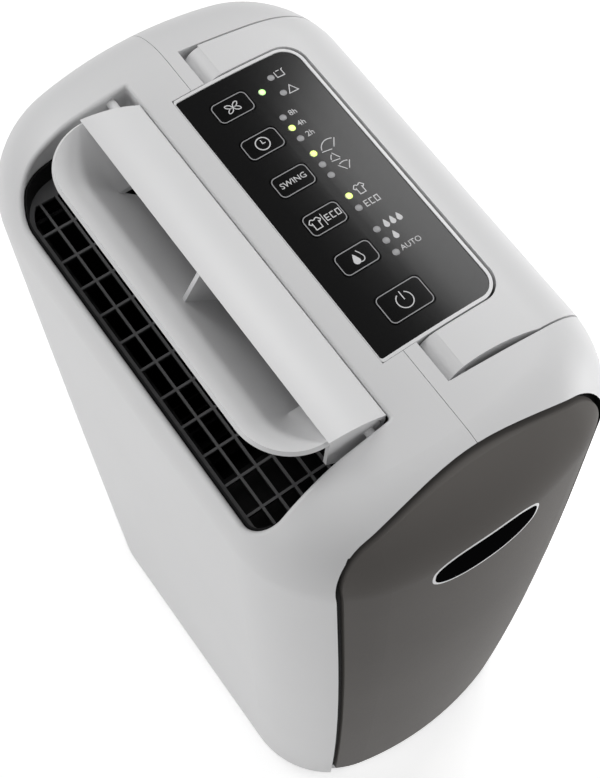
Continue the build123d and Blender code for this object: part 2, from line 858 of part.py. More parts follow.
def carry_handle():
    """U-shaped handle flush with the body, hollow under the grip."""
    front, rear = handle_arms()
    arm_low = handle_pivot_h - arm_radius
    inner = pod_radius + handle_gap
    points = [(-reach, front[1]), (grip_left, front[1]), (grip_left, rear[0]), (-reach, rear[0])]
    plan = handle_outline(handle_pivot_x, 0) - rounded(points, [inner] * 4)
    region = deck_prism(plan, arm_low, reach)
    region += deck_prism(handle_outline(grip_left, 0), grip_floor, reach)
    for span in (front, rear):
        region += deck_rod(handle_pivot_x, handle_pivot_h, span, arm_radius)
    handle = (region & body_0) - handle_notch()
    channel = deck_prism(handle_outline(grip_left + grip_wall, -grip_wall), -reach, 0)
    handle -= channel & hull(grip_wall)
    whole = (2 * front[0], 2 * rear[1])
    return handle - deck_rod(handle_pivot_x, handle_pivot_h, whole, pin_radius + pin_clearance)


def handle_pins():
    """Two hinge pins held in the pocket walls."""
    return [deck_rod(handle_pivot_x, handle_pivot_h, span, pin_radius) for span in handle_pin_spans()]


def intake_grille():
    """Slotted intake panel flush with the right side."""
    side = (body_width / 4, body_width)
    panel = (hull(intake_sink) - body_panel_in) & intake_region(-panel_gap, side)
    slots = Sketch()
    for place in GridLocations(slot_length + slot_pitch, slot_pitch, slot_columns, slot_rows):
        slots += place * SlotOverall(slot_length, slot_height)
    return panel - extrude(Plane.YZ.offset(side[0]) * Pos(intake_y, intake_z) * slots, side[1])


def air_filter():
    """Flat washable filter: a frame with a ribbed screen behind the grille."""
    right = body_width / 2 - panel_sink - panel_wall - ledge_wall - 2 * fit_gap
    x = (right - filter_wall, right)
    length, height = intake_length + filter_rim, intake_height + filter_rim
    frame = Rectangle(length, height)
    step_y = (length - filter_rim) / 4
    step_z = (height - filter_rim) / 5
    for place in GridLocations(step_y, step_z, 4, 5):
        frame -= place * Rectangle(step_y - filter_rim, step_z - filter_rim)
    body = extrude(Plane.YZ.offset(x[0]) * Pos(intake_y, intake_z) * frame, filter_wall)
    screen = Pos(intake_y, intake_z) * Rectangle(length - filter_rim, height - filter_rim)
    return body + extrude(Plane.YZ.offset(x[0] + 1) * screen, 1)


def base_tray():
    """Base plate with a rim, tank runners and side guides."""
    outline = plan_outline(wall + fit_gap, 1)
    tray = extrude(Pos(0, 0, foot_height) * outline, base_rim)
    pocket = extrude(Pos(0, 0, foot_height + base_plate) * plan_outline(2 * wall + fit_gap, 1), base_rim)
    tray -= pocket
    runner_z = (foot_height + base_plate, tank_bottom + tank_gap - fit_gap)
    y = (tank_front, body_depth / 2 - 4 * boss_inset)
    for x in (-tank_half_width / 2, tank_half_width / 2):
        tray += block((x - runner_width / 2, x + runner_width / 2), y, runner_z)
    for side in (-1, 1):
        x = side * (tank_half_width + wall / 2 + fit_gap)
        tray += block((x - wall / 2, x + wall / 2), y, (runner_z[0], 3 * tank_bottom))
    return tray - tank_region(0, (body_depth / 2 - 3 * boss_inset, body_depth))


def rubber_feet():
    """Four tapered feet."""
    places = [(x, y) for x in (-foot_x, foot_x) for y in (foot_front_y, foot_rear_y)]
    return [Pos(x, y, 0) * extrude(Circle(foot_radius - 1), foot_height, taper=-8) for x, y in places]


def tank_top_cut():
    """Everything above the tank's open top."""
    return block((-reach, reach), (-reach, reach), (tank_top - tank_gap - lid_wall, reach))


def water_tank():
    """Open-topped drawer tank with a flat rear wall."""
    tank = tank_region(tank_gap, (tank_front, tank_rear))
    tank -= tank_region(tank_gap + tank_wall, (tank_front + tank_wall, tank_rear - tank_wall))
    mouth_x = (-tank_half_width + tank_mouth, tank_half_width - tank_mouth)
    mouth = block(mouth_x, (tank_front + tank_mouth, tank_rear - tank_mouth), (tank_top / 2, reach))
    return tank - tank_top_cut() - mouth


def tank_scoop(grow):
    """Finger scoop in the tank's facing, widened by grow."""
    scoop_y = body_depth / 2 - rear_taper - scoop_depth
    points = [(scoop_y - grow, scoop_bottom - grow), (reach, scoop_bottom - grow - scoop_depth)]
    points += [(reach, scoop_top + grow), (scoop_y - grow, scoop_top + grow)]
    face = fillet(Polygon(*points, align=None).vertices().sort_by(Axis.X)[:2], scoop_radius + grow)
    half = scoop_half_width + grow
    return extrude(Plane.YZ.offset(-half) * face, 2 * half)


def tank_facing():
    """Hollow rear facing of the tank in line with the body's skin, with a finger scoop."""
    facing = tank_region(tank_gap, (tank_rear, body_depth)) & hull(tank_gap)
    inside = tank_region(tank_gap + tank_wall, (tank_rear, body_depth)) & hull(tank_gap + tank_wall)
    return facing - tank_scoop(0) - (inside - tank_scoop(tank_wall)) - tank_top_cut()


def tank_lid():
    """Tank lid with a drip opening and two float lugs."""
    low = tank_top - tank_gap - lid_wall
    slab = block((-reach, reach), (-reach, reach), (low, reach))
    lid = tank_region(tank_gap, (tank_front, body_depth)) & hull(tank_gap) & slab
    lid -= Pos(0, drain_y, low) * Cylinder(2 * drain_radius, drain_radius)
    lug_y = (float_pivot_y - lug_half, float_pivot_y + lug_half)
    for side in (-1, 1):
        x = side * (float_size / 2 + lug_wall)
        lug_x = (x - lug_wall / 2, x + lug_wall / 2)
        lid += block(lug_x, lug_y, (float_pivot_z - lug_half, low + lid_wall / 2))
    bore = float_pin_radius + shaft_clearance
    return lid - side_rod((-float_size, float_size), float_pivot_y, float_pivot_z, bore)


def tank_float():
    """Foam float on a swinging lever with its pivot pin."""
    half = float_size / 2
    pin_half = half + 2 * lug_wall
    pin = side_rod((-pin_half, pin_half), float_pivot_y, float_pivot_z, float_pin_radius)
    far = float_pivot_y + float_reach
    low, high = float_pivot_z - lever_half, float_pivot_z + lever_half
    lever = block((-lever_half, lever_half), (float_pivot_y - lever_half, far), (low, high))
    foam = block((-half, half), (far - half, far + half), (low - float_height, low))
    return pin + lever + fillet(foam.edges().filter_by(Axis.Z), lug_half)


def condensate_shelf():
    """Shelf between the tank and the machinery, dished to a drain spout."""
    share = taper_share(shelf_z)
    inset = panel_sink + panel_wall + ledge_wall + 2 * fit_gap
    shelf = extrude(Pos(0, 0, shelf_z) * plan_outline(inset, share), shelf_wall + shelf_rim)
    dish = extrude(Pos(0, 0, shelf_z + shelf_wall) * plan_outline(inset + wall, share), 2 * shelf_rim)
    shelf -= dish
    spout_z = (tank_top + 1, shelf_z + 1)
    shelf += Pos(0, drain_y, sum(spout_z) / 2) * Cylinder(drain_radius, spout_z[1] - spout_z[0])
    return shelf - Pos(0, drain_y, shelf_z) * Cylinder(drain_radius - wall, 6 * drain_radius)


def scroll_face(grow):
    """Blower casing outline in y and z: two tangent quarter turns and an open top."""
    near, far = scroll_near_radius + grow, scroll_far_radius + grow
    lift = scroll_far_radius - scroll_near_radius
    top = body_height
    lines = Line((blower_y - near, top), (blower_y - near, blower_z))
    turn = math.sqrt(0.5)
    bottom = (blower_y, blower_z - near)
    quarter = (blower_y - near * turn, blower_z - near * turn)
    lines += ThreePointArc((blower_y - near, blower_z), quarter, bottom)
    end = (blower_y + far, blower_z + lift)
    lines += ThreePointArc(bottom, (blower_y + far * turn, blower_z + lift - far * turn), end)
    lines += Line(end, (end[0], top)) + Line((end[0], top), (blower_y - near, top))
    return make_face(lines)


def scroll_half(x, side):
    """One half of the blower casing between x limits, closed on one side."""
    half = extrude(Plane.YZ.offset(x[0]) * scroll_face(scroll_wall), x[1] - x[0])
    open_x = (x[0] + scroll_wall, x[1]) if side < 0 else (x[0], x[1] - scroll_wall)
    half -= extrude(Plane.YZ.offset(open_x[0]) * scroll_face(0), open_x[1] - open_x[0])
    half -= deck_block((-reach, reach), (-reach, reach), (duct_floor - duct_wall, reach))
    foot_y = (blower_y - scroll_foot_half, blower_y + scroll_foot_half)
    foot = block(x, foot_y, (shelf_z + shelf_wall, blower_z - scroll_near_radius))
    half += foot - extrude(Plane.YZ.offset(x[0]) * scroll_face(scroll_wall / 2), x[1] - x[0])
    return half


def scroll_left():
    """Left half of the blower casing."""
    return scroll_half((blower_left, (blower_left + blower_right) / 2), -1)


def scroll_right():
    """Right half of the blower casing, with the inlet and its motor bracket's seat."""
    half = scroll_half(((blower_left + blower_right) / 2, blower_right), 1)
    return half - side_rod((wheel_right, blower_right + 1), blower_y, blower_z, inlet_radius)


def blower_wheel():
    """Forward-curved wheel: back plate, hub, blades and end ring."""
    plane = Plane.YZ.offset(wheel_left) * Pos(blower_y, blower_z)
    width = wheel_right - wheel_left
    blades = Sketch()
    lean = math.radians(blade_sweep)
    for place in PolarLocations(0, blade_count):
        outer = (wheel_radius * math.cos(lean), wheel_radius * math.sin(lean))
        points = [(wheel_inner_radius, 0), outer]
        points += [(outer[0] - 0.4, outer[1] + blade_wall), (wheel_inner_radius - 0.4, blade_wall)]
        blades += place * Polygon(*points, align=None)
    wheel = extrude(plane * blades, width)
    wheel += extrude(plane * Circle(wheel_radius + 1), wheel_plate)
    ring = Circle(wheel_radius + 1) - Circle(wheel_inner_radius + 5)
    ring_plane = Plane.YZ.offset(wheel_right - wheel_plate) * Pos(blower_y, blower_z)
    wheel += extrude(ring_plane * ring, wheel_plate)
    wheel += extrude(plane * Circle(hub_radius), width * 0.8)
    bore = motor_shaft_radius + shaft_clearance
    return wheel - side_rod((wheel_left - 1, wheel_right), blower_y, blower_z, bore)


def fan_motor():
    """Blower motor in the inlet, with its shaft into the wheel's hub."""
    left = blower_right + bracket_wall
    can = side_rod((left, left + motor_length), blower_y, blower_z, motor_radius)
    can = fillet(can.edges(), 3)
    can += side_rod((left - bracket_wall, left + 1), blower_y, blower_z, hub_radius)
    return can + side_rod((wheel_left + 4, left), blower_y, blower_z, motor_shaft_radius)


def motor_bracket():
    """Three-armed bracket that holds the motor over the inlet."""
    plane = Plane.YZ.offset(blower_right) * Pos(blower_y, blower_z)
    face = Circle(motor_radius) + (Circle(inlet_radius + 8) - Circle(inlet_radius))
    for place in PolarLocations(0, 3):
        face += place * Pos(inlet_radius / 2 + 4, 0) * Rectangle(inlet_radius, 12)
    face -= Circle(hub_radius)
    return extrude(plane * face, bracket_wall)


def desiccant_rotor():
    """Zeolite wheel with a toothed rim and a hub."""
    plane = Plane.YZ.offset(rotor_left) * Pos(rotor_y, rotor_z)
    wheel = extrude(plane * Circle(rotor_radius), rotor_thickness)
    teeth = gear_face(rotor_teeth, drive_module, drive_angle)
    middle = rotor_left + (rotor_thickness - tooth_width) / 2
    wheel += extrude(Plane.YZ.offset(middle) * Pos(rotor_y, rotor_z) * teeth, tooth_width)
    hub_x = (rotor_left - rotor_hub_rise, rotor_left + rotor_thickness + rotor_hub_rise)
    wheel += side_rod(hub_x, rotor_y, rotor_z, rotor_hub_radius)
    return wheel - side_rod((frame_left, frame_right), rotor_y, rotor_z, axle_radius + shaft_clearance)


def drive_center():
    """Axis of the drive pinion in y and z."""
    reach_out = drive_module * (rotor_teeth + drive_teeth) / 2
    turn = math.radians(drive_angle)
    return rotor_y + reach_out * math.cos(turn), rotor_z + reach_out * math.sin(turn)


def rotor_frame():
    """Frame round the desiccant wheel with three spokes to the axle on each face."""
    face = Rectangle(frame_rear_y - frame_front_y, frame_top_z - shelf_z - shelf_wall)
    middle = Pos((frame_rear_y + frame_front_y) / 2, (frame_top_z + shelf_z + shelf_wall) / 2)
    tip = drive_module * (rotor_teeth / 2 + 0.9) + frame_clearance
    opening = Pos(rotor_y, rotor_z) * Circle(tip)
    y, z = drive_center()
    opening += Pos(y, z) * Circle(drive_module * (drive_teeth / 2 + 0.9) + frame_clearance)
    frame = extrude(Plane.YZ.offset(frame_left) * ((middle * face) - opening), frame_right - frame_left)
    spokes = Circle(rotor_hub_radius)
    for place in PolarLocations(0, 3, start_angle=90):
        spokes += place * Pos(tip / 2, 0) * Rectangle(tip + 4, spoke_width)
    spokes -= Circle(axle_radius)
    for x in (frame_left, frame_right - spoke_wall):
        frame += extrude(Plane.YZ.offset(x) * Pos(rotor_y, rotor_z) * spokes, spoke_wall)
    return frame


def rotor_axle():
    """Fixed axle of the desiccant wheel."""
    return side_rod((frame_left, frame_right), rotor_y, rotor_z, axle_radius)


def drive_pinion():
    """Pinion that turns the desiccant wheel."""
    y, z = drive_center()
    face = gear_face(drive_teeth, drive_module, drive_angle + 180 + 180 / drive_teeth)
    face -= Circle(drive_shaft_radius + shaft_clearance)
    left = rotor_left + (rotor_thickness - tooth_width) / 2
    return extrude(Plane.YZ.offset(left) * Pos(y, z) * face, tooth_width)


def gear_motor():
    """Slow synchronous motor of the rotor drive, flanged to the frame."""
    y, z = drive_center()
    motor = side_rod((frame_left - gear_motor_length, frame_left), y, z, gear_motor_radius)
    motor = fillet(motor.edges(), 2)
    right = rotor_left + (rotor_thickness + tooth_width) / 2
    return motor + side_rod((frame_left - 1, right), y, z, drive_shaft_radius)


def sector_face(inner, outer, spread):
    """Ring sector about the rotor's axis."""
    ring = Circle(outer) - Circle(inner)
    turn = math.radians(spread / 2)
    far = 2 * outer
    wedge = Polygon((0, 0), (far * math.cos(turn), -far * math.sin(turn)), (far, 0),
                    (far * math.cos(turn), far * math.sin(turn)), align=None)
    return Rot(0, 0, heater_angle) * (ring & wedge)


def heater_cover():
    """Sector box over the rotor that guides the hot regeneration air."""
    plane = Plane.YZ.offset(frame_left - heater_depth) * Pos(rotor_y, rotor_z)
    cover = extrude(plane * sector_face(heater_inner, heater_outer, heater_spread), heater_depth)
    hollow = offset(sector_face(heater_inner, heater_outer, heater_spread), -heater_wall)
    inner = Plane.YZ.offset(frame_left - heater_depth + heater_wall) * Pos(rotor_y, rotor_z)
    return cover - extrude(inner * hollow, heater_depth)


def heater_rods():
    """Three heating rods across the sector, each set into the cover's end walls."""
    rods = []
    for radius in heater_rod_places:
        turn = math.radians(heater_angle)
        y = rotor_y + radius * math.cos(turn)
        z = rotor_z + radius * math.sin(turn)
        lean = math.radians(heater_spread / 2)
        inner_edge = (radius - heater_rod_radius) * math.tan(lean)
        half = inner_edge - heater_wall / math.cos(lean) - fit_gap / 2
        x = frame_left - heater_depth / 2
        rods.append(Pos(x, y, z) * Rot(heater_angle, 0, 0) * Cylinder(heater_rod_radius, 2 * half))
    return rods


def regen_housing():
    """Small blower casing of the regeneration loop, with an inlet and an outlet spout."""
    outer = regen_radius + regen_clearance + scroll_wall
    x = (regen_left, regen_left + regen_width)
    case = side_rod(x, regen_y, regen_z, outer)
    half = spout_width / 2
    foot = block(x, (regen_y - half, regen_y + half), (shelf_z + shelf_wall, regen_z))
    spout = block(x, (regen_y - outer, regen_y - outer + spout_width), (regen_z, regen_z + outer + half))
    case += foot + spout
    inner_x = (x[0] + scroll_wall, x[1] - scroll_wall)
    case -= side_rod(inner_x, regen_y, regen_z, regen_radius + regen_clearance)
    spout_y = (regen_y - outer + scroll_wall, regen_y - outer + spout_width - scroll_wall)
    case -= block(inner_x, spout_y, (regen_z, reach))
    case -= side_rod((x[0] - 1, inner_x[0] + 1), regen_y, regen_z, regen_shaft_radius + 4 * shaft_clearance)
    return case - side_rod((inner_x[1] - 1, x[1] + 1), regen_y, regen_z, regen_inlet_radius)


def regen_wheel():
    """Small paddle wheel of the regeneration blower."""
    left = regen_left + 2 * scroll_wall
    plane = Plane.YZ.offset(left) * Pos(regen_y, regen_z)
    face = Circle(regen_hub_radius)
    for place in PolarLocations(0, regen_blades):
        face += place * Pos(regen_radius / 2, 0) * Rectangle(regen_radius, blade_wall)
    wheel = extrude(plane * face, regen_width - 4 * scroll_wall)
    wheel += extrude(plane * Circle(regen_radius), blade_wall)
    bore = regen_shaft_radius + shaft_clearance
    return wheel - side_rod((left - 1, left + regen_width), regen_y, regen_z, bore)


def regen_motor():
    """Motor of the regeneration blower on the casing's closed side."""
    motor = side_rod((regen_left - regen_motor_length, regen_left), regen_y, regen_z, regen_motor_radius)
    motor = fillet(motor.edges(), 2)
    shaft_x = (regen_left - 1, regen_left + regen_width - 4 * scroll_wall)
    return motor + side_rod(shaft_x, regen_y, regen_z, regen_shaft_radius)


def condenser():
    """Plate condenser: upright hollow plates between two headers."""
    x = (condenser_left, condenser_right)
    y = (condenser_front_y, condenser_rear_y)
    z = (shelf_z + shelf_wall, condenser_top_z)
    core = block(x, y, z)
    pitch = (y[1] - y[0] - condenser_gap) / condenser_fins
    for i in range(condenser_fins):
        start = y[0] + condenser_gap + pitch * i
        slot_z = (z[0] + condenser_header, z[1] - condenser_header)
        core -= block((x[0] - 1, x[1] + 1), (start, start + pitch - condenser_gap), slot_z)
    return core


def main_board():
    """Power board on edge behind the front panel, with its main components."""
    x_span = (board_x - board_half_width, board_x + board_half_width)
    face = board_y + board_wall
    board = block(x_span, (board_y, face), (board_bottom_z, board_top_z))
    for x, z, size, tall in board_components:
        half = size / 2
        left = board_x + x - half
        board += block((left, left + size), (face, face + tall), (z - half, z + half))
    leg_z = (shelf_z + shelf_wall, board_bottom_z + board_post)
    for x in (x_span[0] + board_margin, x_span[1] - board_margin):
        board += block((x - board_post / 2, x + board_post / 2), (board_y, board_y + 2 * board_post), leg_z)
    return board


def level_switch():
    """Sensor that the tank float trips, under the shelf."""
    return block((12, 28), (float_pivot_y + 6, float_pivot_y + 20), (tank_top + 1.6, shelf_z))


def cord_gland():
    """Round grommet where the mains lead enters the rear wall."""
    def disc(radius, y):
        return Pos(gland_x, sum(y) / 2, gland_z) * Rot(90, 0, 0) * Cylinder(radius, y[1] - y[0])

    rear = body_depth / 2 - rear_taper * taper_share(gland_z) - gland_x**2 / (2 * rear_bow_radius)
    inner = rear - gland_length
    gland = disc(gland_radius - gland_fit, (inner, rear + gland_rise))
    gland += disc(gland_radius + gland_collar, (inner - gland_collar, inner + gland_fit))
    return gland - disc(gland_bore, (rear - 2 * gland_length, rear + gland_length))


def shell_screws():
    """Screws through the seam bosses."""
    y = body_depth / 2 - boss_inset
    screws = []
    for z in boss_levels:
        head_x = seam_x + boss_half
        shank = side_rod((seam_x - boss_half + screw_radius, head_x), y, z, screw_radius)
        screws.append(shank + side_rod((head_x, head_x + screw_radius), y, z, 2 * screw_radius))
    return screws


left_shell, right_shell = body_shells()
nodes = {
    "left_shell": left_shell,
    "right_shell": right_shell,
    "front_panel": front_panel(),
    "outlet_duct": outlet_duct(),
    "outlet_grille": outlet_grille(),
    "outlet_liner": outlet_liner(),
    "swing_louvre": swing_louvre(),
    "louvre_quadrant": louvre_quadrant(),
    "swing_pinion": swing_pinion(),
    "swing_motor": swing_motor(),
    "control_pod": control_pod(),
    "control_fascia": control_fascia(),
    "control_board": control_board(),
    "tact_switches": tact_switches(),
    "lamp_lenses": lamp_lenses(),
    "carry_handle": carry_handle(),
    "handle_pins": handle_pins(),
    "intake_grille": intake_grille(),
    "air_filter": air_filter(),
    "base_tray": base_tray(),
    "rubber_feet": rubber_feet(),
    "water_tank": water_tank(),
    "tank_facing": tank_facing(),
    "tank_lid": tank_lid(),
    "tank_float": tank_float(),
    "condensate_shelf": condensate_shelf(),
    "scroll_left": scroll_left(),
    "scroll_right": scroll_right(),
    "blower_wheel": blower_wheel(),
    "fan_motor": fan_motor(),
    "motor_bracket": motor_bracket(),
    "desiccant_rotor": desiccant_rotor(),
    "rotor_frame": rotor_frame(),
    "rotor_axle": rotor_axle(),
    "drive_pinion": drive_pinion(),
    "gear_motor": gear_motor(),
    "heater_cover": heater_cover(),
    "heater_rods": heater_rods(),
    "regen_housing": regen_housing(),
    "regen_wheel": regen_wheel(),
    "regen_motor": regen_motor(),
    "condenser": condenser(),
    "main_board": main_board(),
    "level_switch": level_switch(),
    "cord_gland": cord_gland(),
    "shell_screws": shell_screws(),
}
key_names = ["fan", "timer", "swing", "laundry", "humidity", "power"]
for key_name, key_place in zip(key_names, key_places()):
    nodes[f"{key_name}_key"] = control_key(key_place)

for node_name, shape in nodes.items():
    solids = shape if isinstance(shape, list) else [shape]
    export_step(Compound(children=[Part(solid.wrapped) for solid in solids]), f"parts/{node_name}.step")
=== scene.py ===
"""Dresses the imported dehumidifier: finishes, printed key panel, lamps, studio and camera."""

import logging
import math
from dataclasses import dataclass, field
from enum import Enum
from functools import cache
from typing import Callable, Sequence

import bmesh
import bpy
from mathutils import Matrix, Vector
from mathutils.bvhtree import BVHTree


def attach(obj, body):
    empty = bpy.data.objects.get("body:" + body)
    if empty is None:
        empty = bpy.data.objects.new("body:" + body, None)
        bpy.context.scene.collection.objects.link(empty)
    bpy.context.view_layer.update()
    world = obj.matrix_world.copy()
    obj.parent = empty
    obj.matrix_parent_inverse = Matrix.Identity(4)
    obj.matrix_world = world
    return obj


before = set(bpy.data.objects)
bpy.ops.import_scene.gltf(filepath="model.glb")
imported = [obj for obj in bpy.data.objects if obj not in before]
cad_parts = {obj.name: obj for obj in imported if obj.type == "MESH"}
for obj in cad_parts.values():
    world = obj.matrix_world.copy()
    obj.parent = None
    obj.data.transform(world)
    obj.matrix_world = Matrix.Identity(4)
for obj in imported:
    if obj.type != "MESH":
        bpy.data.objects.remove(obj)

LOG = logging.getLogger("dehumidifier")
MM = 0.001
Point2 = tuple[float, float]
Point3 = tuple[float, float, float]

COAT_ROUGHNESS = 0.05
BRUSH_STRETCH = (1.0, 0.04, 1.0)
CLOUD_SCALE = 9.0
CLOUD_DETAIL = 3.0
CLOUD_SPAN = (0.3, 0.7)
GRAIN_DETAIL = 2.0
GRAIN_RELIEF = 0.0002
SATIN_SWING = 0.25
GLOSS_SWING = 0.15
# painted shade: depth over which a colour sinks to black deep in a recess, and that black
PAINTED_SHADE_DEPTH = 1.5
PAINTED_SHADE_BLACK = (0.004, 0.004, 0.004, 1.0)
LENS_ROUGHNESS = 0.35
LENS_CORE = 0.35
LETTER_SCALE = 1.4
LETTER_WEIGHT = 0.012
LETTER_CURVE = 3
MITRE_LIMIT = 0.4


class Surface(Enum):
    """How a finish is textured."""

    MOULDED = "moulded"
    GLOSSY = "glossy"
    BRUSHED = "brushed"
    RUBBER = "rubber"


@dataclass(frozen=True)
class Finish:
    """A procedural surface finish.

    Attributes:
        name: Material name.
        colour: Base colour, linear.
        roughness: Mean roughness.
        surface: Texture family.
        grain: Texture cells per metre.
        depth: Bump strength of the grain.
        variation: Share by which the colour drifts over the surface.
        metallic: Metal share.
        coat: Clear coat weight.
        specular: Specular level.
        painted_shade_height: Height over the deck's plane, in millimetres, below which the colour sinks to black
            as painted shade deep in a recess.
    """

    name: str
    colour: tuple[float, float, float]
    roughness: float
    surface: Surface = Surface.MOULDED
    grain: float = 900.0
    depth: float = 0.08
    variation: float = 0.03
    metallic: float = 0.0
    coat: float = 0.0
    specular: float = 0.5
    painted_shade_height: float | None = None

    @cache
    def make(self) -> bpy.types.Material:
        """Builds the material once and returns it.

        Returns:
            The Blender material of this finish.
        """
        made = bpy.data.materials.new(self.name)
        made.use_nodes = True
        tree = made.node_tree
        shader = tree.nodes["Principled BSDF"]
        shader.inputs["Metallic"].default_value = self.metallic
        shader.inputs["Coat Weight"].default_value = self.coat
        shader.inputs["Coat Roughness"].default_value = COAT_ROUGHNESS
        shader.inputs["Specular IOR Level"].default_value = self.specular
        place = tree.nodes.new("ShaderNodeTexCoord")
        stretch = tree.nodes.new("ShaderNodeMapping")
        if self.surface is Surface.BRUSHED:
            stretch.inputs["Scale"].default_value = BRUSH_STRETCH
        tree.links.new(place.outputs["Object"], stretch.inputs["Vector"])
        self._tint(tree, shader, stretch)
        self._grain(tree, shader, stretch)
        return made

    def _tint(self, tree: bpy.types.NodeTree, shader: bpy.types.Node, place: bpy.types.Node) -> None:
        """Lets the colour drift softly over the surface.

        Args:
            tree: Node tree to extend.
            shader: Principled shader.
            place: Node that gives the texture coordinates.
        """
        cloud = tree.nodes.new("ShaderNodeTexNoise")
        cloud.inputs["Scale"].default_value = CLOUD_SCALE
        cloud.inputs["Detail"].default_value = CLOUD_DETAIL
        ramp = tree.nodes.new("ShaderNodeValToRGB")
        low = [c * (1.0 - self.variation) for c in self.colour]
        high = [min(1.0, c * (1.0 + self.variation)) for c in self.colour]
        for stop, position, shade in zip(ramp.color_ramp.elements, CLOUD_SPAN, (low, high)):
            stop.position = position
            stop.color = (*shade, 1.0)
        tree.links.new(place.outputs["Vector"], cloud.inputs["Vector"])
        tree.links.new(cloud.outputs["Fac"], ramp.inputs["Fac"])
        colour = ramp.outputs["Color"]
        # painted shade: the colour sinks to black deep in a recess
        if self.painted_shade_height is not None:
            colour = self._paint_depth_shade(tree, colour, place)
        tree.links.new(colour, shader.inputs["Base Color"])

    def _paint_depth_shade(
        self, tree: bpy.types.NodeTree, colour: bpy.types.NodeSocket, place: bpy.types.Node
    ) -> bpy.types.NodeSocket:
        """Paints shade: lets a colour sink to black below the given height over the deck, for the shade deep in a
        recess.

        Args:
            tree: Node tree to extend.
            colour: Colour above the painted shade.
            place: Node that gives the texture coordinates.

        Returns:
            The socket of the mixed colour.
        """
        height = tree.nodes.new("ShaderNodeVectorMath")
        height.operation = "DOT_PRODUCT"
        deck = Deck()
        out = deck.axes()[2]
        height.inputs[1].default_value = out
        level = deck.place(0.0, 0.0, self.painted_shade_height).dot(out)
        share = tree.nodes.new("ShaderNodeMapRange")
        share.inputs["From Min"].default_value = level - PAINTED_SHADE_DEPTH * MM
        share.inputs["From Max"].default_value = level
        shade = tree.nodes.new("ShaderNodeMix")
        shade.data_type = "RGBA"
        shade.inputs["A"].default_value = PAINTED_SHADE_BLACK
        tree.links.new(place.outputs["Vector"], height.inputs[0])
        tree.links.new(height.outputs["Value"], share.inputs["Value"])
        tree.links.new(share.outputs["Result"], shade.inputs["Factor"])
        tree.links.new(colour, shade.inputs["B"])
        return shade.outputs["Result"]

    def _grain(self, tree: bpy.types.NodeTree, shader: bpy.types.Node, place: bpy.types.Node) -> None:
        """Adds the fine texture that breaks up gloss and relief.

        Args:
            tree: Node tree to extend.
            shader: Principled shader.
            place: Node that gives the texture coordinates.
        """
        fine = tree.nodes.new("ShaderNodeTexNoise")
        fine.inputs["Scale"].default_value = self.grain
        fine.inputs["Detail"].default_value = GRAIN_DETAIL
        spread = tree.nodes.new("ShaderNodeMapRange")
        swing = GLOSS_SWING if self.surface is Surface.GLOSSY else SATIN_SWING
        spread.inputs["To Min"].default_value = self.roughness * (1.0 - swing)
        spread.inputs["To Max"].default_value = min(1.0, self.roughness * (1.0 + swing))
        relief = tree.nodes.new("ShaderNodeBump")
        relief.inputs["Strength"].default_value = self.depth
        relief.inputs["Distance"].default_value = GRAIN_RELIEF
        tree.links.new(place.outputs["Vector"], fine.inputs["Vector"])
        tree.links.new(fine.outputs["Fac"], spread.inputs["Value"])
        tree.links.new(spread.outputs["Result"], shader.inputs["Roughness"])
        tree.links.new(fine.outputs["Fac"], relief.inputs["Height"])
        tree.links.new(relief.outputs["Normal"], shader.inputs["Normal"])


@dataclass(frozen=True)
class LampFinish:
    """A lamp lens, dark or lit, brighter in its middle.

    Attributes:
        name: Material name.
        core: Colour at the middle.
        rim: Colour at the edge.
        glow: Emission strength.
    """

    name: str
    core: tuple[float, float, float]
    rim: tuple[float, float, float]
    glow: float = 0.0

    @cache
    def make(self) -> bpy.types.Material:
        """Builds the material once and returns it.

        Returns:
            The Blender material of this lens.
        """
        made = bpy.data.materials.new(self.name)
        made.use_nodes = True
        tree = made.node_tree
        shader = tree.nodes["Principled BSDF"]
        shader.inputs["Roughness"].default_value = LENS_ROUGHNESS
        shader.inputs["Emission Strength"].default_value = self.glow
        edge = tree.nodes.new("ShaderNodeAttribute")
        edge.attribute_name = "lens_edge"
        ramp = tree.nodes.new("ShaderNodeValToRGB")
        ramp.color_ramp.elements[0].position = LENS_CORE
        ramp.color_ramp.elements[0].color = (*self.core, 1.0)
        ramp.color_ramp.elements[1].color = (*self.rim, 1.0)
        tree.links.new(edge.outputs["Fac"], ramp.inputs["Fac"])
        tree.links.new(ramp.outputs["Color"], shader.inputs["Base Color"])
        if self.glow > 0.0:
            tree.links.new(ramp.outputs["Color"], shader.inputs["Emission Color"])
        return made


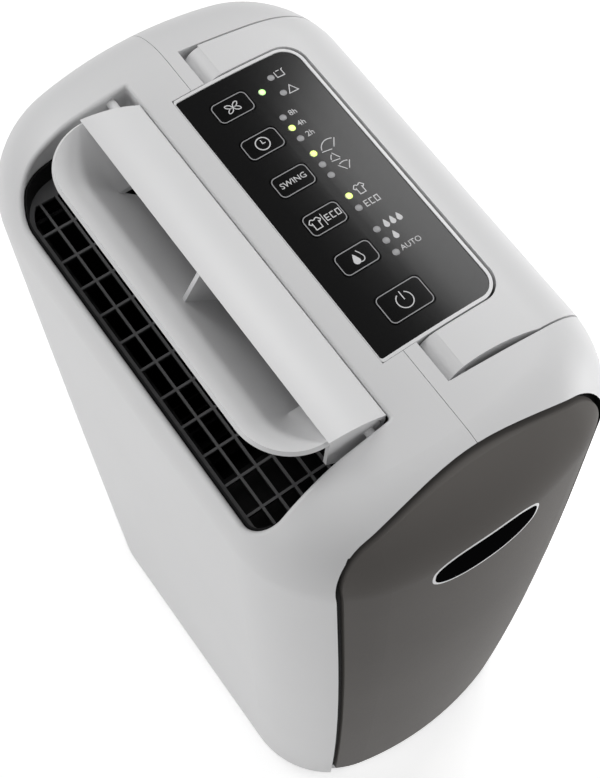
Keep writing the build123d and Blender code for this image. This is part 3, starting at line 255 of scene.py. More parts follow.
class Finishes:
    """The finishes of this appliance."""

    SHELL = Finish("shell_satin", (0.74, 0.74, 0.745), 0.42, grain=1400.0, depth=0.05, variation=0.012)
    LOUVRE = Finish("louvre_satin", (0.76, 0.76, 0.765), 0.38, grain=1400.0, depth=0.04, variation=0.012)
    HANDLE = Finish("handle_white", (0.75, 0.75, 0.755), 0.4, grain=1400.0, depth=0.05, variation=0.012)
    POD = Finish("pod_white", (0.78, 0.78, 0.785), 0.35, grain=1400.0, depth=0.04, variation=0.012)
    PANEL = Finish(
        "panel_warm_grey", (0.138, 0.13, 0.123), 0.45, grain=1600.0, depth=0.06, variation=0.05, specular=0.02
    )
    # painted shade: the duct's white sinks to black below the grille
    DUCT = Finish(
        "duct_satin", (0.7, 0.7, 0.705), 0.45, grain=1200.0, depth=0.06, variation=0.02, specular=0.1, painted_shade_height=-33.5
    )
    CASING = Finish(
        "casing_black", (0.007, 0.007, 0.0073), 0.65, grain=900.0, depth=0.1, variation=0.15, specular=0.15
    )
    # painted shade: the grille's bars sink to black below their tops
    GRILLE = Finish(
        "grille_satin", (0.11, 0.11, 0.112), 0.42, grain=900.0, depth=0.1, variation=0.15, specular=0.2, painted_shade_height=-33.5
    )
    FASCIA = Finish(
        "fascia_gloss", (0.003, 0.003, 0.0032), 0.2, Surface.GLOSSY, 700.0, 0.01, 0.1, specular=0.22
    )
    KEY = Finish("key_black", (0.0025, 0.0025, 0.0027), 0.24, Surface.GLOSSY, 700.0, 0.01, 0.1, specular=0.1)
    PRINT = Finish("print_white", (0.68, 0.68, 0.69), 0.5, grain=2500.0, depth=0.05, variation=0.05)
    OUTLINE = Finish("outline_grey", (0.33, 0.33, 0.34), 0.45, grain=2500.0, depth=0.05, variation=0.05)
    TANK = Finish("tank_white", (0.72, 0.72, 0.73), 0.4, grain=1300.0, depth=0.06, variation=0.02)
    VENT = Finish("vent_grey", (0.6, 0.6, 0.61), 0.45, grain=1200.0, depth=0.08, variation=0.03)
    MESH = Finish("filter_dark", (0.05, 0.055, 0.06), 0.8, grain=2200.0, depth=0.5, variation=0.2)
    INNER = Finish("inner_matt", (0.5, 0.5, 0.48), 0.55, grain=900.0, depth=0.15, variation=0.06)
    NYLON = Finish("nylon_natural", (0.72, 0.69, 0.58), 0.4, grain=1000.0, depth=0.08, variation=0.04)
    STEEL = Finish("plated_steel", (0.55, 0.55, 0.56), 0.32, Surface.BRUSHED, 600.0, 0.12, 0.08, metallic=1.0)
    ZEOLITE = Finish("zeolite_tan", (0.55, 0.47, 0.36), 0.85, grain=420.0, depth=0.8, variation=0.18)
    FOAM = Finish("float_foam", (0.82, 0.82, 0.79), 0.9, grain=700.0, depth=0.5, variation=0.05)
    BOARD = Finish("board_lacquer", (0.03, 0.16, 0.06), 0.4, grain=500.0, depth=0.1, variation=0.2)
    RUBBER = Finish("rubber_matt", (0.025, 0.025, 0.026), 0.75, Surface.RUBBER, 1100.0, 0.4, 0.15)
    BADGE = Finish("badge_black", (0.003, 0.003, 0.0032), 0.6, Surface.GLOSSY, 900.0, 0.02, 0.1, specular=0.0)
    BADGE_RIM = Finish("badge_rim", (0.8, 0.8, 0.81), 0.3, grain=900.0, depth=0.03, variation=0.03)
    LAMP_OFF = LampFinish("lamp_unlit", (0.4, 0.4, 0.41), (0.27, 0.27, 0.28))
    LAMP_ON = LampFinish("lamp_lit", (0.88, 1.0, 0.36), (0.62, 0.86, 0.16), 0.8)
    LAMP_FAN = LampFinish("lamp_fan_lit", (0.72, 1.0, 0.5), (0.4, 0.85, 0.22), 0.8)
    # painted shade: black laid on the white shell's rim and ledge in the gap round the front panel
    CHANNEL_SHADE = Finish(
        "channel_painted_shade", (0.004, 0.004, 0.004), 0.7, grain=1200.0, depth=0.05, variation=0.1, specular=0.15
    )


def paint(node: str, finish: Finish | LampFinish) -> None:
    """Gives a frame node its finish.

    Args:
        node: Name of the node.
        finish: Finish to assign.
    """
    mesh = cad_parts[node].data
    mesh.materials.clear()
    mesh.materials.append(finish.make())
    LOG.info("%s wears %s", node, finish.name)


def paint_all(plan: dict[Finish, Sequence[str]]) -> None:
    """Gives several nodes their finishes.

    Args:
        plan: Finish to the nodes that wear it.
    """
    for finish, nodes in plan.items():
        for node in nodes:
            paint(node, finish)


def search_tree(node: str) -> BVHTree:
    """Returns a search tree of a node's mesh."""
    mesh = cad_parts[node].data
    return BVHTree.FromPolygons([v.co for v in mesh.vertices], [tuple(p.vertices) for p in mesh.polygons])


def add_piece(
    name: str, mesh: bmesh.types.BMesh, body: str, finish: Finish | LampFinish, smooth: bool = False
) -> bpy.types.Object:
    """Turns a mesh into a piece that rides on a body.

    Args:
        name: Name of the piece.
        mesh: Mesh in the row frame; it is freed here.
        body: Body that carries the piece.
        finish: Finish of the piece.
        smooth: Whether its faces are shaded as one surface.

    Returns:
        The new object.
    """
    bmesh.ops.recalc_face_normals(mesh, faces=mesh.faces)
    data = bpy.data.meshes.new(name)
    mesh.to_mesh(data)
    mesh.free()
    data.materials.append(finish.make())
    if smooth:
        data.shade_smooth()
    piece = bpy.data.objects.new(name, data)
    bpy.context.scene.collection.objects.link(piece)
    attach(piece, body)
    LOG.info("%s rides on %s", name, body)
    return piece


@dataclass
class Deck:
    """The sloping top, with x to the right, v to the rear and h out of the surface, in millimetres.

    Attributes:
        slope: Angle of the deck in degrees.
        height: Height of the deck's origin above the floor.
        nodes: Nodes that printed marks may lie on.
    """

    slope: float = 6.7
    height: float = 466.138
    nodes: dict[str, BVHTree] = field(default_factory=dict)

    def axes(self) -> tuple[Vector, Vector, Vector]:
        """Returns the deck's directions x, v and h."""
        turn = math.radians(self.slope)
        along = Vector((0.0, math.cos(turn), math.sin(turn)))
        out = Vector((0.0, -math.sin(turn), math.cos(turn)))
        return Vector((1.0, 0.0, 0.0)), along, out

    def place(self, x: float, v: float, h: float) -> Vector:
        """Converts deck coordinates in millimetres to the row frame in metres.

        Args:
            x: Across the deck.
            v: Along the deck, to the rear.
            h: Out of the deck.

        Returns:
            The point in the row frame.
        """
        right, along, out = self.axes()
        origin = Vector((0.0, 0.0, self.height))
        return (origin + right * x + along * v + out * h) * MM

    def tree(self, node: str) -> BVHTree:
        """Returns the search tree of a node's mesh."""
        if node not in self.nodes:
            self.nodes[node] = search_tree(node)
        return self.nodes[node]

    def drop(self, node: str, x: float, v: float, lift: float) -> Vector:
        """Finds the point on a node's top under a deck position.

        Args:
            node: Node to land on.
            x: Across the deck, in millimetres.
            v: Along the deck, in millimetres.
            lift: Height to keep above the surface, in millimetres.

        Returns:
            The point in the row frame.
        """
        out = self.axes()[2]
        hit = self.tree(node).ray_cast(self.place(x, v, 40.0), -out)[0]
        if hit is None:
            hit = self.tree(node).find_nearest(self.place(x, v, 0.0))[0]
        return hit + out * (lift * MM)


class Sketchpad:
    """Collects flat marks in deck coordinates and lays them on a node as thin closed prints."""

    def __init__(self, deck: Deck, node: str, centre: Point2, lift: float = 0.06, film: float = 0.05) -> None:
        """Starts an empty sketch.

        Args:
            deck: Deck that the node belongs to.
            node: Node that carries the print.
            centre: Sketch origin on the deck, in millimetres.
            lift: Height of the print's top over the surface, in millimetres.
            film: Thickness of the print, in millimetres.
        """
        self.deck = deck
        self.node = node
        self.centre = centre
        self.lift = lift
        self.film = film
        self.mesh = bmesh.new()

    def _vert(self, point: Point2, lift: float) -> bmesh.types.BMVert:
        """Lays one sketch point on the node."""
        x, v = self.centre[0] + point[0], self.centre[1] + point[1]
        return self.mesh.verts.new(self.deck.drop(self.node, x, v, lift))

    def fill(self, points: Sequence[Point2]) -> None:
        """Adds a filled outline.

        Args:
            points: Corners in order.
        """
        top = [self._vert(p, self.lift) for p in points]
        low = [self._vert(p, self.lift - self.film) for p in points]
        faces = [self.mesh.faces.new(top), self.mesh.faces.new(low[::-1])]
        for i in range(len(points)):
            j = (i + 1) % len(points)
            self.mesh.faces.new((top[i], low[i], low[j], top[j]))
        bmesh.ops.triangulate(self.mesh, faces=faces)

    def stroke(self, points: Sequence[Point2], width: float, closed: bool = False) -> None:
        """Adds a line of even width.

        Args:
            points: Points along the line.
            width: Line width in millimetres.
            closed: Whether the line returns to its start.
        """
        points = Shapes.dense(points, closed)
        count = len(points)
        left: list[Point2] = []
        right: list[Point2] = []
        for i, (x, v) in enumerate(points):
            before = points[i - 1] if i > 0 or closed else points[i]
            after = points[(i + 1) % count] if i < count - 1 or closed else points[i]
            run_in = Vector((x - before[0], v - before[1]))
            run_out = Vector((after[0] - x, after[1] - v))
            run_in = run_in.normalized() if run_in.length else run_out.normalized()
            run_out = run_out.normalized() if run_out.length else run_in
            mean = (run_in + run_out).normalized()
            normal = Vector((-mean.y, mean.x))
            reach = width / 2 / max(MITRE_LIMIT, normal.dot(Vector((-run_in.y, run_in.x))))
            left.append((x + normal.x * reach, v + normal.y * reach))
            right.append((x - normal.x * reach, v - normal.y * reach))
        self._ribbon(left, right, closed)

    def _ribbon(self, left: Sequence[Point2], right: Sequence[Point2], closed: bool) -> None:
        """Joins the two sides of a line into a thin closed strip."""
        low_lift = self.lift - self.film
        rows = []
        for a, b in zip(left, right):
            corners = ((a, self.lift), (b, self.lift), (b, low_lift), (a, low_lift))
            rows.append([self._vert(point, lift) for point, lift in corners])
        count = len(rows)
        for i in range(count if closed else count - 1):
            here, ahead = rows[i], rows[(i + 1) % count]
            for k in range(4):
                m = (k + 1) % 4
                self.mesh.faces.new((here[k], here[m], ahead[m], ahead[k]))
        if not closed:
            self.mesh.faces.new(rows[0])
            self.mesh.faces.new(rows[-1][::-1])

    def text(self, words: str, at: Point2, size: float) -> None:
        """Adds plain lettering centred on a point.

        Args:
            words: Text to print.
            at: Middle of the text in sketch coordinates.
            size: Letter height in millimetres.
        """
        curve = bpy.data.curves.new("lettering", "FONT")
        curve.body = words
        curve.size = size * LETTER_SCALE
        curve.align_x = "CENTER"
        curve.align_y = "CENTER"
        curve.resolution_u = LETTER_CURVE
        curve.offset = size * LETTER_WEIGHT
        holder = bpy.data.objects.new("lettering", curve)
        bpy.context.scene.collection.objects.link(holder)
        flat = bpy.data.meshes.new_from_object(holder.evaluated_get(bpy.context.evaluated_depsgraph_get()))
        letters = bmesh.new()
        letters.from_mesh(flat)
        solid = bmesh.ops.extrude_face_region(letters, geom=letters.faces[:])
        raised = {v for v in solid["geom"] if isinstance(v, bmesh.types.BMVert)}
        for vert in letters.verts:
            spot = (vert.co.x + at[0] + self.centre[0], vert.co.y + at[1] + self.centre[1])
            lift = self.lift if vert in raised else self.lift - self.film
            vert.co = self.deck.drop(self.node, spot[0], spot[1], lift)
        part = bpy.data.meshes.new("lettering")
        letters.to_mesh(part)
        letters.free()
        self.mesh.from_mesh(part)
        bpy.data.objects.remove(holder)
        bpy.data.curves.remove(curve)
        for spare in (flat, part):
            bpy.data.meshes.remove(spare)


class Shapes:
    """Outlines of the printed signs, centred on their own origin, in millimetres."""

    @staticmethod
    def arc(
        radius: float, start: float, end: float, steps: int = 20, at: Point2 = (0.0, 0.0)
    ) -> list[Point2]:
        """Points along an arc.

        Args:
            radius: Radius of the arc.
            start: First angle in degrees.
            end: Last angle in degrees.
            steps: Number of chords.
            at: Centre of the arc.

        Returns:
            Points from start to end.
        """
        turns = [math.radians(start + (end - start) * i / steps) for i in range(steps + 1)]
        return [(at[0] + radius * math.cos(t), at[1] + radius * math.sin(t)) for t in turns]

    @staticmethod
    def dense(points: Sequence[Point2], closed: bool, step: float = 1.6) -> list[Point2]:
        """Splits long runs so that a line can follow a curved surface.

        Args:
            points: Points along the line.
            closed: Whether the line returns to its start.
            step: Longest run to leave, in millimetres.

        Returns:
            The same line with more points.
        """
        ends = [*points[1:], points[0]] if closed else list(points[1:])
        result: list[Point2] = []
        for (x, v), (x_end, v_end) in zip(points, ends):
            parts = max(1, math.ceil(math.hypot(x_end - x, v_end - v) / step))
            result += [(x + (x_end - x) * i / parts, v + (v_end - v) * i / parts) for i in range(parts)]
        return result if closed else [*result, points[-1]]

    @classmethod
    def ring(cls, radius: float, at: Point2 = (0.0, 0.0)) -> list[Point2]:
        """Points round a full circle."""
        return cls.arc(radius, 0.0, 360.0, 28, at)[:-1]

    @classmethod
    def rounded(cls, length: float, width: float, radius: float) -> list[Point2]:
        """Points round a rounded rectangle."""
        a, b = length / 2 - radius, width / 2 - radius
        corners = [((a, b), 0.0), ((-a, b), 90.0), ((-a, -b), 180.0), ((a, -b), 270.0)]
        return [p for at, start in corners for p in cls.arc(radius, start, start + 90.0, 8, at)]

    @classmethod
    def drop(cls, size: float, at: Point2 = (0.0, 0.0)) -> list[Point2]:
        """Points round a water drop of the given height."""
        radius = size * 0.31
        low = cls.arc(radius, -210.0, 30.0, 16, (at[0], at[1] - size * 0.19))
        neck = (at[0] - size * 0.14, at[1] + size * 0.27)
        tip = (at[0], at[1] + size * 0.5)
        return low + [(2 * at[0] - neck[0], neck[1]), tip, neck]

    @staticmethod
    def shirt(size: float, at: Point2 = (0.0, 0.0)) -> list[Point2]:
        """Points round a short-sleeved shirt of the given width."""
        half = [(0.14, 0.44), (0.28, 0.46), (0.5, 0.2), (0.36, 0.04), (0.27, 0.12), (0.27, -0.46)]
        right = [(at[0] + x * size, at[1] + v * size) for x, v in half]
        left = [(2 * at[0] - x, v) for x, v in reversed(right)]
        collar = [(at[0] + side * size * 0.07, at[1] + size * 0.36) for side in (-1, 1)]
        return right + left + collar


@dataclass
class Housing:
    """Outer body: shells, front panel with the painted shade in its channel, base, feet, intake and the bare
    badge.

    Attributes:
        badge_at: Middle of the badge across the panel and above the floor, in millimetres.
        badge_half: Half length and half height of the badge.
        badge_power: Squareness of the badge's oval.
        badge_rise: Height of the badge over the panel.
        badge_rim: Width of the bright rim.
        opening_half: Half width of the front opening at its shoulders.
        opening_foot_half: Half width of the front opening at the floor.
        opening_top: Top of the opening's arch.
        opening_arch: Radius of the arch.
        opening_corner: Radius of the upper corners.
        opening_depth: Distance in front of the middle from which the opening is cut.
        panel: Search tree of the front panel, set when the housing is dressed.
    """

    badge_at: Point2 = (-4.5, 398.5)
    badge_half: Point2 = (31.5, 16.4)
    badge_power: float = 2.7
    badge_rise: float = 0.1
    badge_rim: float = 1.5
    opening_half: float = 80.3
    opening_foot_half: float = 76.2
    opening_top: float = 449.3
    opening_arch: float = 180.0
    opening_corner: float = 30.0
    opening_depth: float = 118.0
    panel: BVHTree | None = field(default=None, init=False)

    def dress(self) -> None:
        """Gives the housing its finishes and adds the badge and the painted shade in the channel round the front
        panel.
        """
        paint_all({
            Finishes.SHELL: ("left_shell", "right_shell", "base_tray"),
            Finishes.PANEL: ("front_panel",),
            Finishes.VENT: ("intake_grille",),
            Finishes.MESH: ("air_filter",),
            Finishes.RUBBER: ("rubber_feet", "cord_gland"),
            Finishes.STEEL: ("shell_screws",),
        })
        self.panel = search_tree("front_panel")
        self._badge()
        self._paint_channel_shade()

    def _on_panel(self, x: float, z: float, rise: float) -> Vector:
        """Finds the point on the panel's face, lifted off it.

        Args:
            x: Across the panel, in millimetres.
            z: Above the floor, in millimetres.
            rise: Height over the face, in millimetres.

        Returns:
            The point in the row frame.
        """
        start = Vector((x * MM, -1.0, z * MM))
        hit, normal = self.panel.ray_cast(start, Vector((0.0, 1.0, 0.0)))[:2]
        if hit is None:
            hit, normal = self.panel.find_nearest(Vector((x * MM, -0.15, z * MM)))[:2]
        return hit + normal * (rise * MM)

    @staticmethod
    def _grid(
        name: str, rows: Sequence[Sequence[Vector]], slot: str, finish: Finish, ring: bool = False
    ) -> None:
        """Skins rows of points into a smooth piece on the chassis.

        Args:
            name: Name of the piece.
            rows: Rows with the same number of points.
            slot: Material slot of the record; not used.
            finish: Finish of the piece.
            ring: Whether every row closes on itself.
        """
        mesh = bmesh.new()
        grid = [[mesh.verts.new(point) for point in row] for row in rows]
        for near, far in zip(grid, grid[1:]):
            for i in range(len(near) if ring else len(near) - 1):
                j = (i + 1) % len(near)
                mesh.faces.new((near[i], near[j], far[j], far[i]))
        add_piece(name, mesh, "chassis", finish, smooth=True)

    def _badge(self) -> None:
        """Lays a bare dark plate with a thin bright rim on the front panel."""
        (mid_x, mid_z), (half_x, half_z) = self.badge_at, self.badge_half
        rim, rise = self.badge_rim, self.badge_rise
        steps, columns, ranks = 160, 24, 10
        # inset from the edge and share of the rise, from the outside in
        profile = ((0.0, 0.0), (0.15, 0.7), (0.4, 1.0), (rim - 0.3, 1.0), (rim, 0.55))
        turns = [2.0 * math.pi * i / steps for i in range(steps)]
        rows = []
        for inset, share in profile:
            row = []
            for turn in turns:
                x = mid_x + self._oval(math.cos(turn), half_x - inset)
                z = mid_z + self._oval(math.sin(turn), half_z - inset)
                row.append(self._on_panel(x, z, share * rise))
            rows.append(row)
        self._grid("badge_rim", rows, "panel_grey", Finishes.BADGE_RIM, ring=True)
        rows = []
        for i in range(2 * columns + 1):
            along = (i / columns - 1.0) * 0.995
            tall = (half_z - rim) * (1.0 - abs(along) ** self.badge_power) ** (1.0 / self.badge_power)
            x = mid_x + along * (half_x - rim)
            heights = [mid_z + tall * k / ranks for k in range(-ranks, ranks + 1)]
            rows.append([self._on_panel(x, z, 0.6 * rise) for z in heights])
        self._grid("badge_plate", rows, "panel_grey", Finishes.BADGE)

    def _oval(self, share: float, half: float) -> float:
        """Returns one coordinate of the badge's oval for a cosine or sine."""
        return math.copysign(abs(share) ** (2.0 / self.badge_power), share) * half

    def _paint_channel_shade(self) -> None:
        """Paints shade: blackens the rim and the ledge around the front panel on both shells, for the shade in the
        gap.
        """
        for node in ("left_shell", "right_shell"):
            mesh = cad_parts[node].data
            # painted shade: the white shell faces in the panel's gap get the black finish
            mesh.materials.append(Finishes.CHANNEL_SHADE.make())
            for face in mesh.polygons:
                if self._in_opening(face.center / MM):
                    face.material_index = 1

    def _in_opening(self, at: Vector, slack: float = 0.12) -> bool:
        """Tells whether a point lies in the front opening or on its rim.

        Args:
            at: Point in millimetres.
            slack: Distance by which the outline is widened.

        Returns:
            Whether the point lies inside.
        """
        x, z = abs(at.x), at.z
        middle = self.opening_top - self.opening_arch
        corner_x = self.opening_half - self.opening_corner
        corner_z = middle + math.sqrt((self.opening_arch - self.opening_corner) ** 2 - corner_x**2)
        if at.y > -self.opening_depth:
            return False
        if z > corner_z and x * (corner_z - middle) > corner_x * (z - middle):
            return math.hypot(x - corner_x, z - corner_z) < self.opening_corner + slack
        if z > corner_z:
            return math.hypot(x, z - middle) < self.opening_arch + slack
        share = z / corner_z
        return x < self.opening_foot_half + (self.opening_half - self.opening_foot_half) * share + slack


@dataclass
class Outlet:
    """Air outlet: duct, grille, louvre and its drive."""

    def dress(self) -> None:
        """Gives the outlet's nodes their finishes."""
        paint_all({
            Finishes.DUCT: ("outlet_duct",),
            Finishes.GRILLE: ("outlet_grille",),
            Finishes.CASING: ("outlet_liner",),
            Finishes.LOUVRE: ("swing_louvre",),
            Finishes.NYLON: ("louvre_quadrant", "swing_pinion"),
            Finishes.STEEL: ("swing_motor",),
        })


@dataclass
class Controls:
    """Key panel: fascia, keys, printed signs and lamps.

    Attributes:
        deck: Deck that carries the panel.
        key_x: Middle of the function keys across the deck.
        key_first: Position of the rearmost key along the deck.
        key_pitch: Distance between keys.
        key_size: Length and width of a function key.
        power_at: Middle of the power key.
        power_size: Length and width of the power key.
        outline_inset: Distance of a key's printed outline from its edge.
        outline_radius: Corner radius of a printed outline.
        line: Width of printed lines.
        lamp_x: Column of the function lamps.
        lamp_radius: Radius of a lamp lens.
        label_gap: Distance from a lamp to its label.
        letter: Height of label letters.
        lamp_rows: Position along the deck of every function lamp, and whether it is lit.
        status_x: Column of the two status lamps.
        status_rows: Positions of the status lamps along the deck.
        status_gap: Distance from a status lamp to its sign.
        lens_profile: Share of the radius and height of a lens, from its foot inwards.
        lens_crown: Height of the middle of a lens.
        lens_steps: Corners round a lens.
        timer_words: Timer labels and their positions along the deck.
        swing_sectors: Corner, size and two angles of the swing signs.
        drop_size: Height of a printed drop.
        drop_pitch: Distance between printed drops.
        eco_pitch: Distance between the economy letters.
    """

    deck: Deck
    key_x: float = 17.5
    key_first: float = 72.8
    key_pitch: float = 25.7
    key_size: Point2 = (21.0, 13.2)
    power_at: Point2 = (22.8, -60.3)
    power_size: Point2 = (26.0, 16.7)
    outline_inset: float = 0.35
    outline_radius: float = 2.7
    line: float = 0.5
    lamp_x: float = 35.0
    lamp_radius: float = 2.0
    label_gap: float = 6.2
    letter: float = 3.3
    lamp_rows: tuple[tuple[float, bool], ...] = (
        (72.8, True), (54.6, False), (47.1, True), (39.8, False), (29.0, True), (21.5, False),
        (14.3, False), (-0.1, True), (-8.1, False), (-22.5, False), (-29.9, False), (-37.6, False),
    )
    status_x: float = 44.2
    status_rows: Point2 = (78.0, 67.1)
    status_gap: float = 5.4
    lens_profile: tuple[Point2, ...] = ((1.0, -0.4), (1.0, 0.05), (0.8, 0.2), (0.45, 0.29))
    lens_crown: float = 0.32
    lens_steps: int = 24
    timer_words: tuple[tuple[str, float], ...] = (("8h", 54.9), ("4h", 47.4), ("2h", 40.1))
    swing_sectors: tuple[tuple[Point2, float, float, float], ...] = (
        ((3.6, 26.4), 6.7, 54.0, 172.0),
        ((3.4, 19.7), 5.7, 118.0, 172.0),
        ((2.6, 12.2), 6.0, 54.0, 126.0),
    )
    drop_size: float = 4.9
    drop_pitch: float = 3.9
    eco_pitch: float = 3.1

    def dress(self) -> None:
        """Finishes the panel, prints its signs and sets its lamps."""
        paint_all({
            Finishes.POD: ("control_pod",),
            Finishes.FASCIA: ("control_fascia",),
            Finishes.BOARD: ("control_board",),
            Finishes.INNER: ("tact_switches",),
        })
        paint("lamp_lenses", Finishes.LAMP_OFF)
        signs: dict[str, Callable[[Sketchpad], None]] = {
            "fan": self._fan_sign,
            "timer": self._clock_sign,
            "swing": lambda pad: pad.text("SWING", (0.0, 0.0), self.letter),
            "laundry": self._laundry_sign,
            "humidity": self._humidity_sign,
        }
        for i, (name, sign) in enumerate(signs.items()):
            self._key(name, (self.key_x, self.key_first - self.key_pitch * i), self.key_size, sign)
        self._key("power", self.power_at, self.power_size, self._power_sign)
        self._lamps()
        self._labels()

    def _key(self, name: str, at: Point2, size: Point2, sign: Callable[[Sketchpad], None]) -> None:
        """Finishes one key and prints its outline and sign.

        Args:
            name: Function of the key.
            at: Middle of the key on the deck.
            size: Length and width.
            sign: Method that draws the sign.
        """
        node = f"{name}_key"
        paint(node, Finishes.KEY)
        outline = Sketchpad(self.deck, node, at)
        inset = 2 * self.outline_inset + self.line
        outline.stroke(Shapes.rounded(size[0] - inset, size[1] - inset, self.outline_radius), self.line, True)
        add_piece(f"{name}_key_outline", outline.mesh, f"{name}_button", Finishes.OUTLINE)
        pad = Sketchpad(self.deck, node, at)
        sign(pad)
        add_piece(f"{name}_key_sign", pad.mesh, f"{name}_button", Finishes.PRINT)

    def _fan_sign(self, pad: Sketchpad) -> None:
        """Draws a fan of four crossed leaf-shaped blades."""
        for turn in (35.0, 147.0, 215.0, 327.0):
            spin = Matrix.Rotation(math.radians(turn), 2)
            blade = [(0.2, -0.2), (1.6, -0.95), (3.0, -0.95), (3.9, -0.5), (4.2, 0.0)]
            blade += [(x, -v) for x, v in reversed(blade[:-1])]
            pad.stroke([tuple(spin @ Vector(p)) for p in blade], self.line, True)

    def _clock_sign(self, pad: Sketchpad) -> None:
        """Draws a clock face with two hands."""
        pad.stroke(Shapes.ring(3.65), self.line * 1.2, True)
        pad.stroke([(0.0, 2.4), (0.0, 0.0), (1.7, 0.0)], self.line)

    def _laundry_sign(self, pad: Sketchpad) -> None:
        """Draws a shirt, a divider and the economy letters."""
        pad.stroke(Shapes.shirt(6.6, (-5.0, 0.0)), self.line, True)
        pad.stroke([(-0.6, 3.6), (-0.6, -3.6)], self.line * 0.8)
        self._eco(pad, (4.8, 0.0))

    def _eco(self, pad: Sketchpad, at: Point2) -> None:
        """Draws the economy letters in a plain squared hand.

        Args:
            pad: Sketch that takes the letters.
            at: Middle of the middle letter.
        """
        half_x, half_v = 1.0, 1.6
        open_box = [(half_x, half_v), (-half_x, half_v), (-half_x, -half_v), (half_x, -half_v)]
        for number in range(3):
            x = at[0] + self.eco_pitch * (number - 1)
            pad.stroke([(x + a, at[1] + b) for a, b in open_box], self.line, number == 2)
        first = at[0] - self.eco_pitch
        pad.stroke([(first - half_x, at[1]), (first - 0.2 + half_x, at[1])], self.line)

    def _humidity_sign(self, pad: Sketchpad) -> None:
        """Draws a full drop with a second one behind it."""
        pad.fill(Shapes.drop(6.0, (-0.9, -0.3)))
        pad.stroke(Shapes.drop(6.6, (1.4, 0.3))[5:-1], self.line)

    def _power_sign(self, pad: Sketchpad) -> None:
        """Draws the standby sign."""
        pad.stroke(Shapes.arc(4.3, 118.0, 422.0, 30), self.line * 1.1)
        pad.stroke([(0.0, 5.2), (0.0, 0.2)], self.line * 1.1)

    def _lamps(self) -> None:
        """Sets a domed lens on every lamp."""
        lamps = [(self.lamp_x, v, lit) for v, lit in self.lamp_rows]
        lamps += [(self.status_x, v, False) for v in self.status_rows]
        for number, (x, v, lit) in enumerate(lamps, 1):
            bright = Finishes.LAMP_FAN if number == 1 else Finishes.LAMP_ON
            self._lens(f"lamp_lens_{number:02d}", x, v, bright if lit else Finishes.LAMP_OFF)

    def _lens(self, name: str, x: float, v: float, finish: LampFinish) -> None:
        """Builds one shallow domed lens.

        Args:
            name: Name of the piece.
            x: Across the deck.
            v: Along the deck.
            finish: Lens finish.
        """
        mesh = bmesh.new()
        edge = mesh.verts.layers.float.new("lens_edge")
        steps = self.lens_steps
        rows = []
        base = self.deck.drop("control_fascia", x + self.lamp_radius + 0.3, v, 0.0)
        height = (base - self.deck.place(x, v, 0.0)).dot(self.deck.axes()[2]) / MM + 0.05
        for share, rise in self.lens_profile:
            row = []
            for i in range(steps):
                turn = 2.0 * math.pi * i / steps
                reach = share * self.lamp_radius
                spot = self.deck.place(x + reach * math.cos(turn), v + reach * math.sin(turn), height + rise)
                vert = mesh.verts.new(spot)
                vert[edge] = share
                row.append(vert)
            rows.append(row)
        for low, high in zip(rows, rows[1:]):
            for i in range(steps):
                j = (i + 1) % steps
                mesh.faces.new((low[i], low[j], high[j], high[i]))
        crown = mesh.verts.new(self.deck.place(x, v, height + self.lens_crown))
        for i in range(steps):
            mesh.faces.new((rows[-1][i], rows[-1][(i + 1) % steps], crown))
        mesh.faces.new(rows[0][::-1])
        add_piece(name, mesh, "chassis", finish, smooth=True)

    def _labels(self) -> None:
        """Prints the labels beside the lamps."""
        x = self.lamp_x + self.label_gap
        timer = self._pad((x, 0.0))
        for words, v in self.timer_words:
            timer.text(words, (0.0, v), self.letter)
        self._print("timer_labels", timer)
        swing = self._pad((x + 1.0, 0.0))
        for corner, size, start, end in self.swing_sectors:
            self._sector(swing, corner, size, start, end)
        self._print("swing_labels", swing)
        mode = self._pad((x, 0.0))
        mode.stroke(Shapes.shirt(6.2, (1.2, 0.6)), self.line, True)
        self._eco(mode, (2.0, -8.0))
        self._print("mode_labels", mode)
        level = self._pad((x, 0.0))
        for i in range(3):
            level.fill(Shapes.drop(self.drop_size, (-0.2 + self.drop_pitch * i, -21.9)))
        level.fill(Shapes.drop(self.drop_size, (-0.2, -29.3)))
        level.text("AUTO", (3.3, -37.3), self.letter * 0.95)
        self._print("level_labels", level)
        status = self._pad((self.status_x + self.status_gap, 0.0))
        status.stroke([(-2.2, 80.2), (-2.2, 76.4), (2.2, 76.4), (2.2, 80.2), (3.2, 80.6)], self.line)
        status.stroke([(-1.0, 80.2), (1.0, 80.2)], self.line)
        status.stroke([(0.0, 69.9), (-2.7, 65.2), (2.7, 65.2)], self.line, True)
        self._print("status_labels", status)

    def _sector(self, pad: Sketchpad, at: Point2, size: float, start: float, end: float) -> None:
        """Draws a swing sector: two straight legs and an arc, with open corners.

        Args:
            pad: Sketch that takes the sign.
            at: Corner where the legs meet.
            size: Length of the legs.
            start: Angle of the first leg in degrees.
            end: Angle of the last leg in degrees.
        """
        for angle in (start, end):
            leg = [Shapes.arc(reach * size, angle, angle, 1, at)[0] for reach in (1.0, 0.16)]
            pad.stroke(leg, self.line)
        pad.stroke(Shapes.arc(0.94 * size, start + 10.0, end - 10.0, 12, at), self.line)

    def _pad(self, at: Point2) -> Sketchpad:
        """Starts a sketch on the fascia."""
        return Sketchpad(self.deck, "control_fascia", at)

    def _print(self, name: str, pad: Sketchpad) -> None:
        """Turns a sketch on the fascia into a piece."""
        add_piece(name, pad.mesh, "chassis", Finishes.PRINT)


@dataclass
class Handle:
    """Folding carry handle and its pins."""

    def dress(self) -> None:
        """Gives the handle its finishes."""
        paint("carry_handle", Finishes.HANDLE)
        paint("handle_pins", Finishes.STEEL)


@dataclass
class WaterTank:
    """Pull-out tank with lid and float, and what stands over it."""

    def dress(self) -> None:
        """Gives the tank's nodes their finishes."""
        paint_all({
            Finishes.TANK: ("water_tank",),
            Finishes.SHELL: ("tank_facing",),
            Finishes.INNER: ("tank_lid", "condensate_shelf", "level_switch"),
            Finishes.FOAM: ("tank_float",),
        })


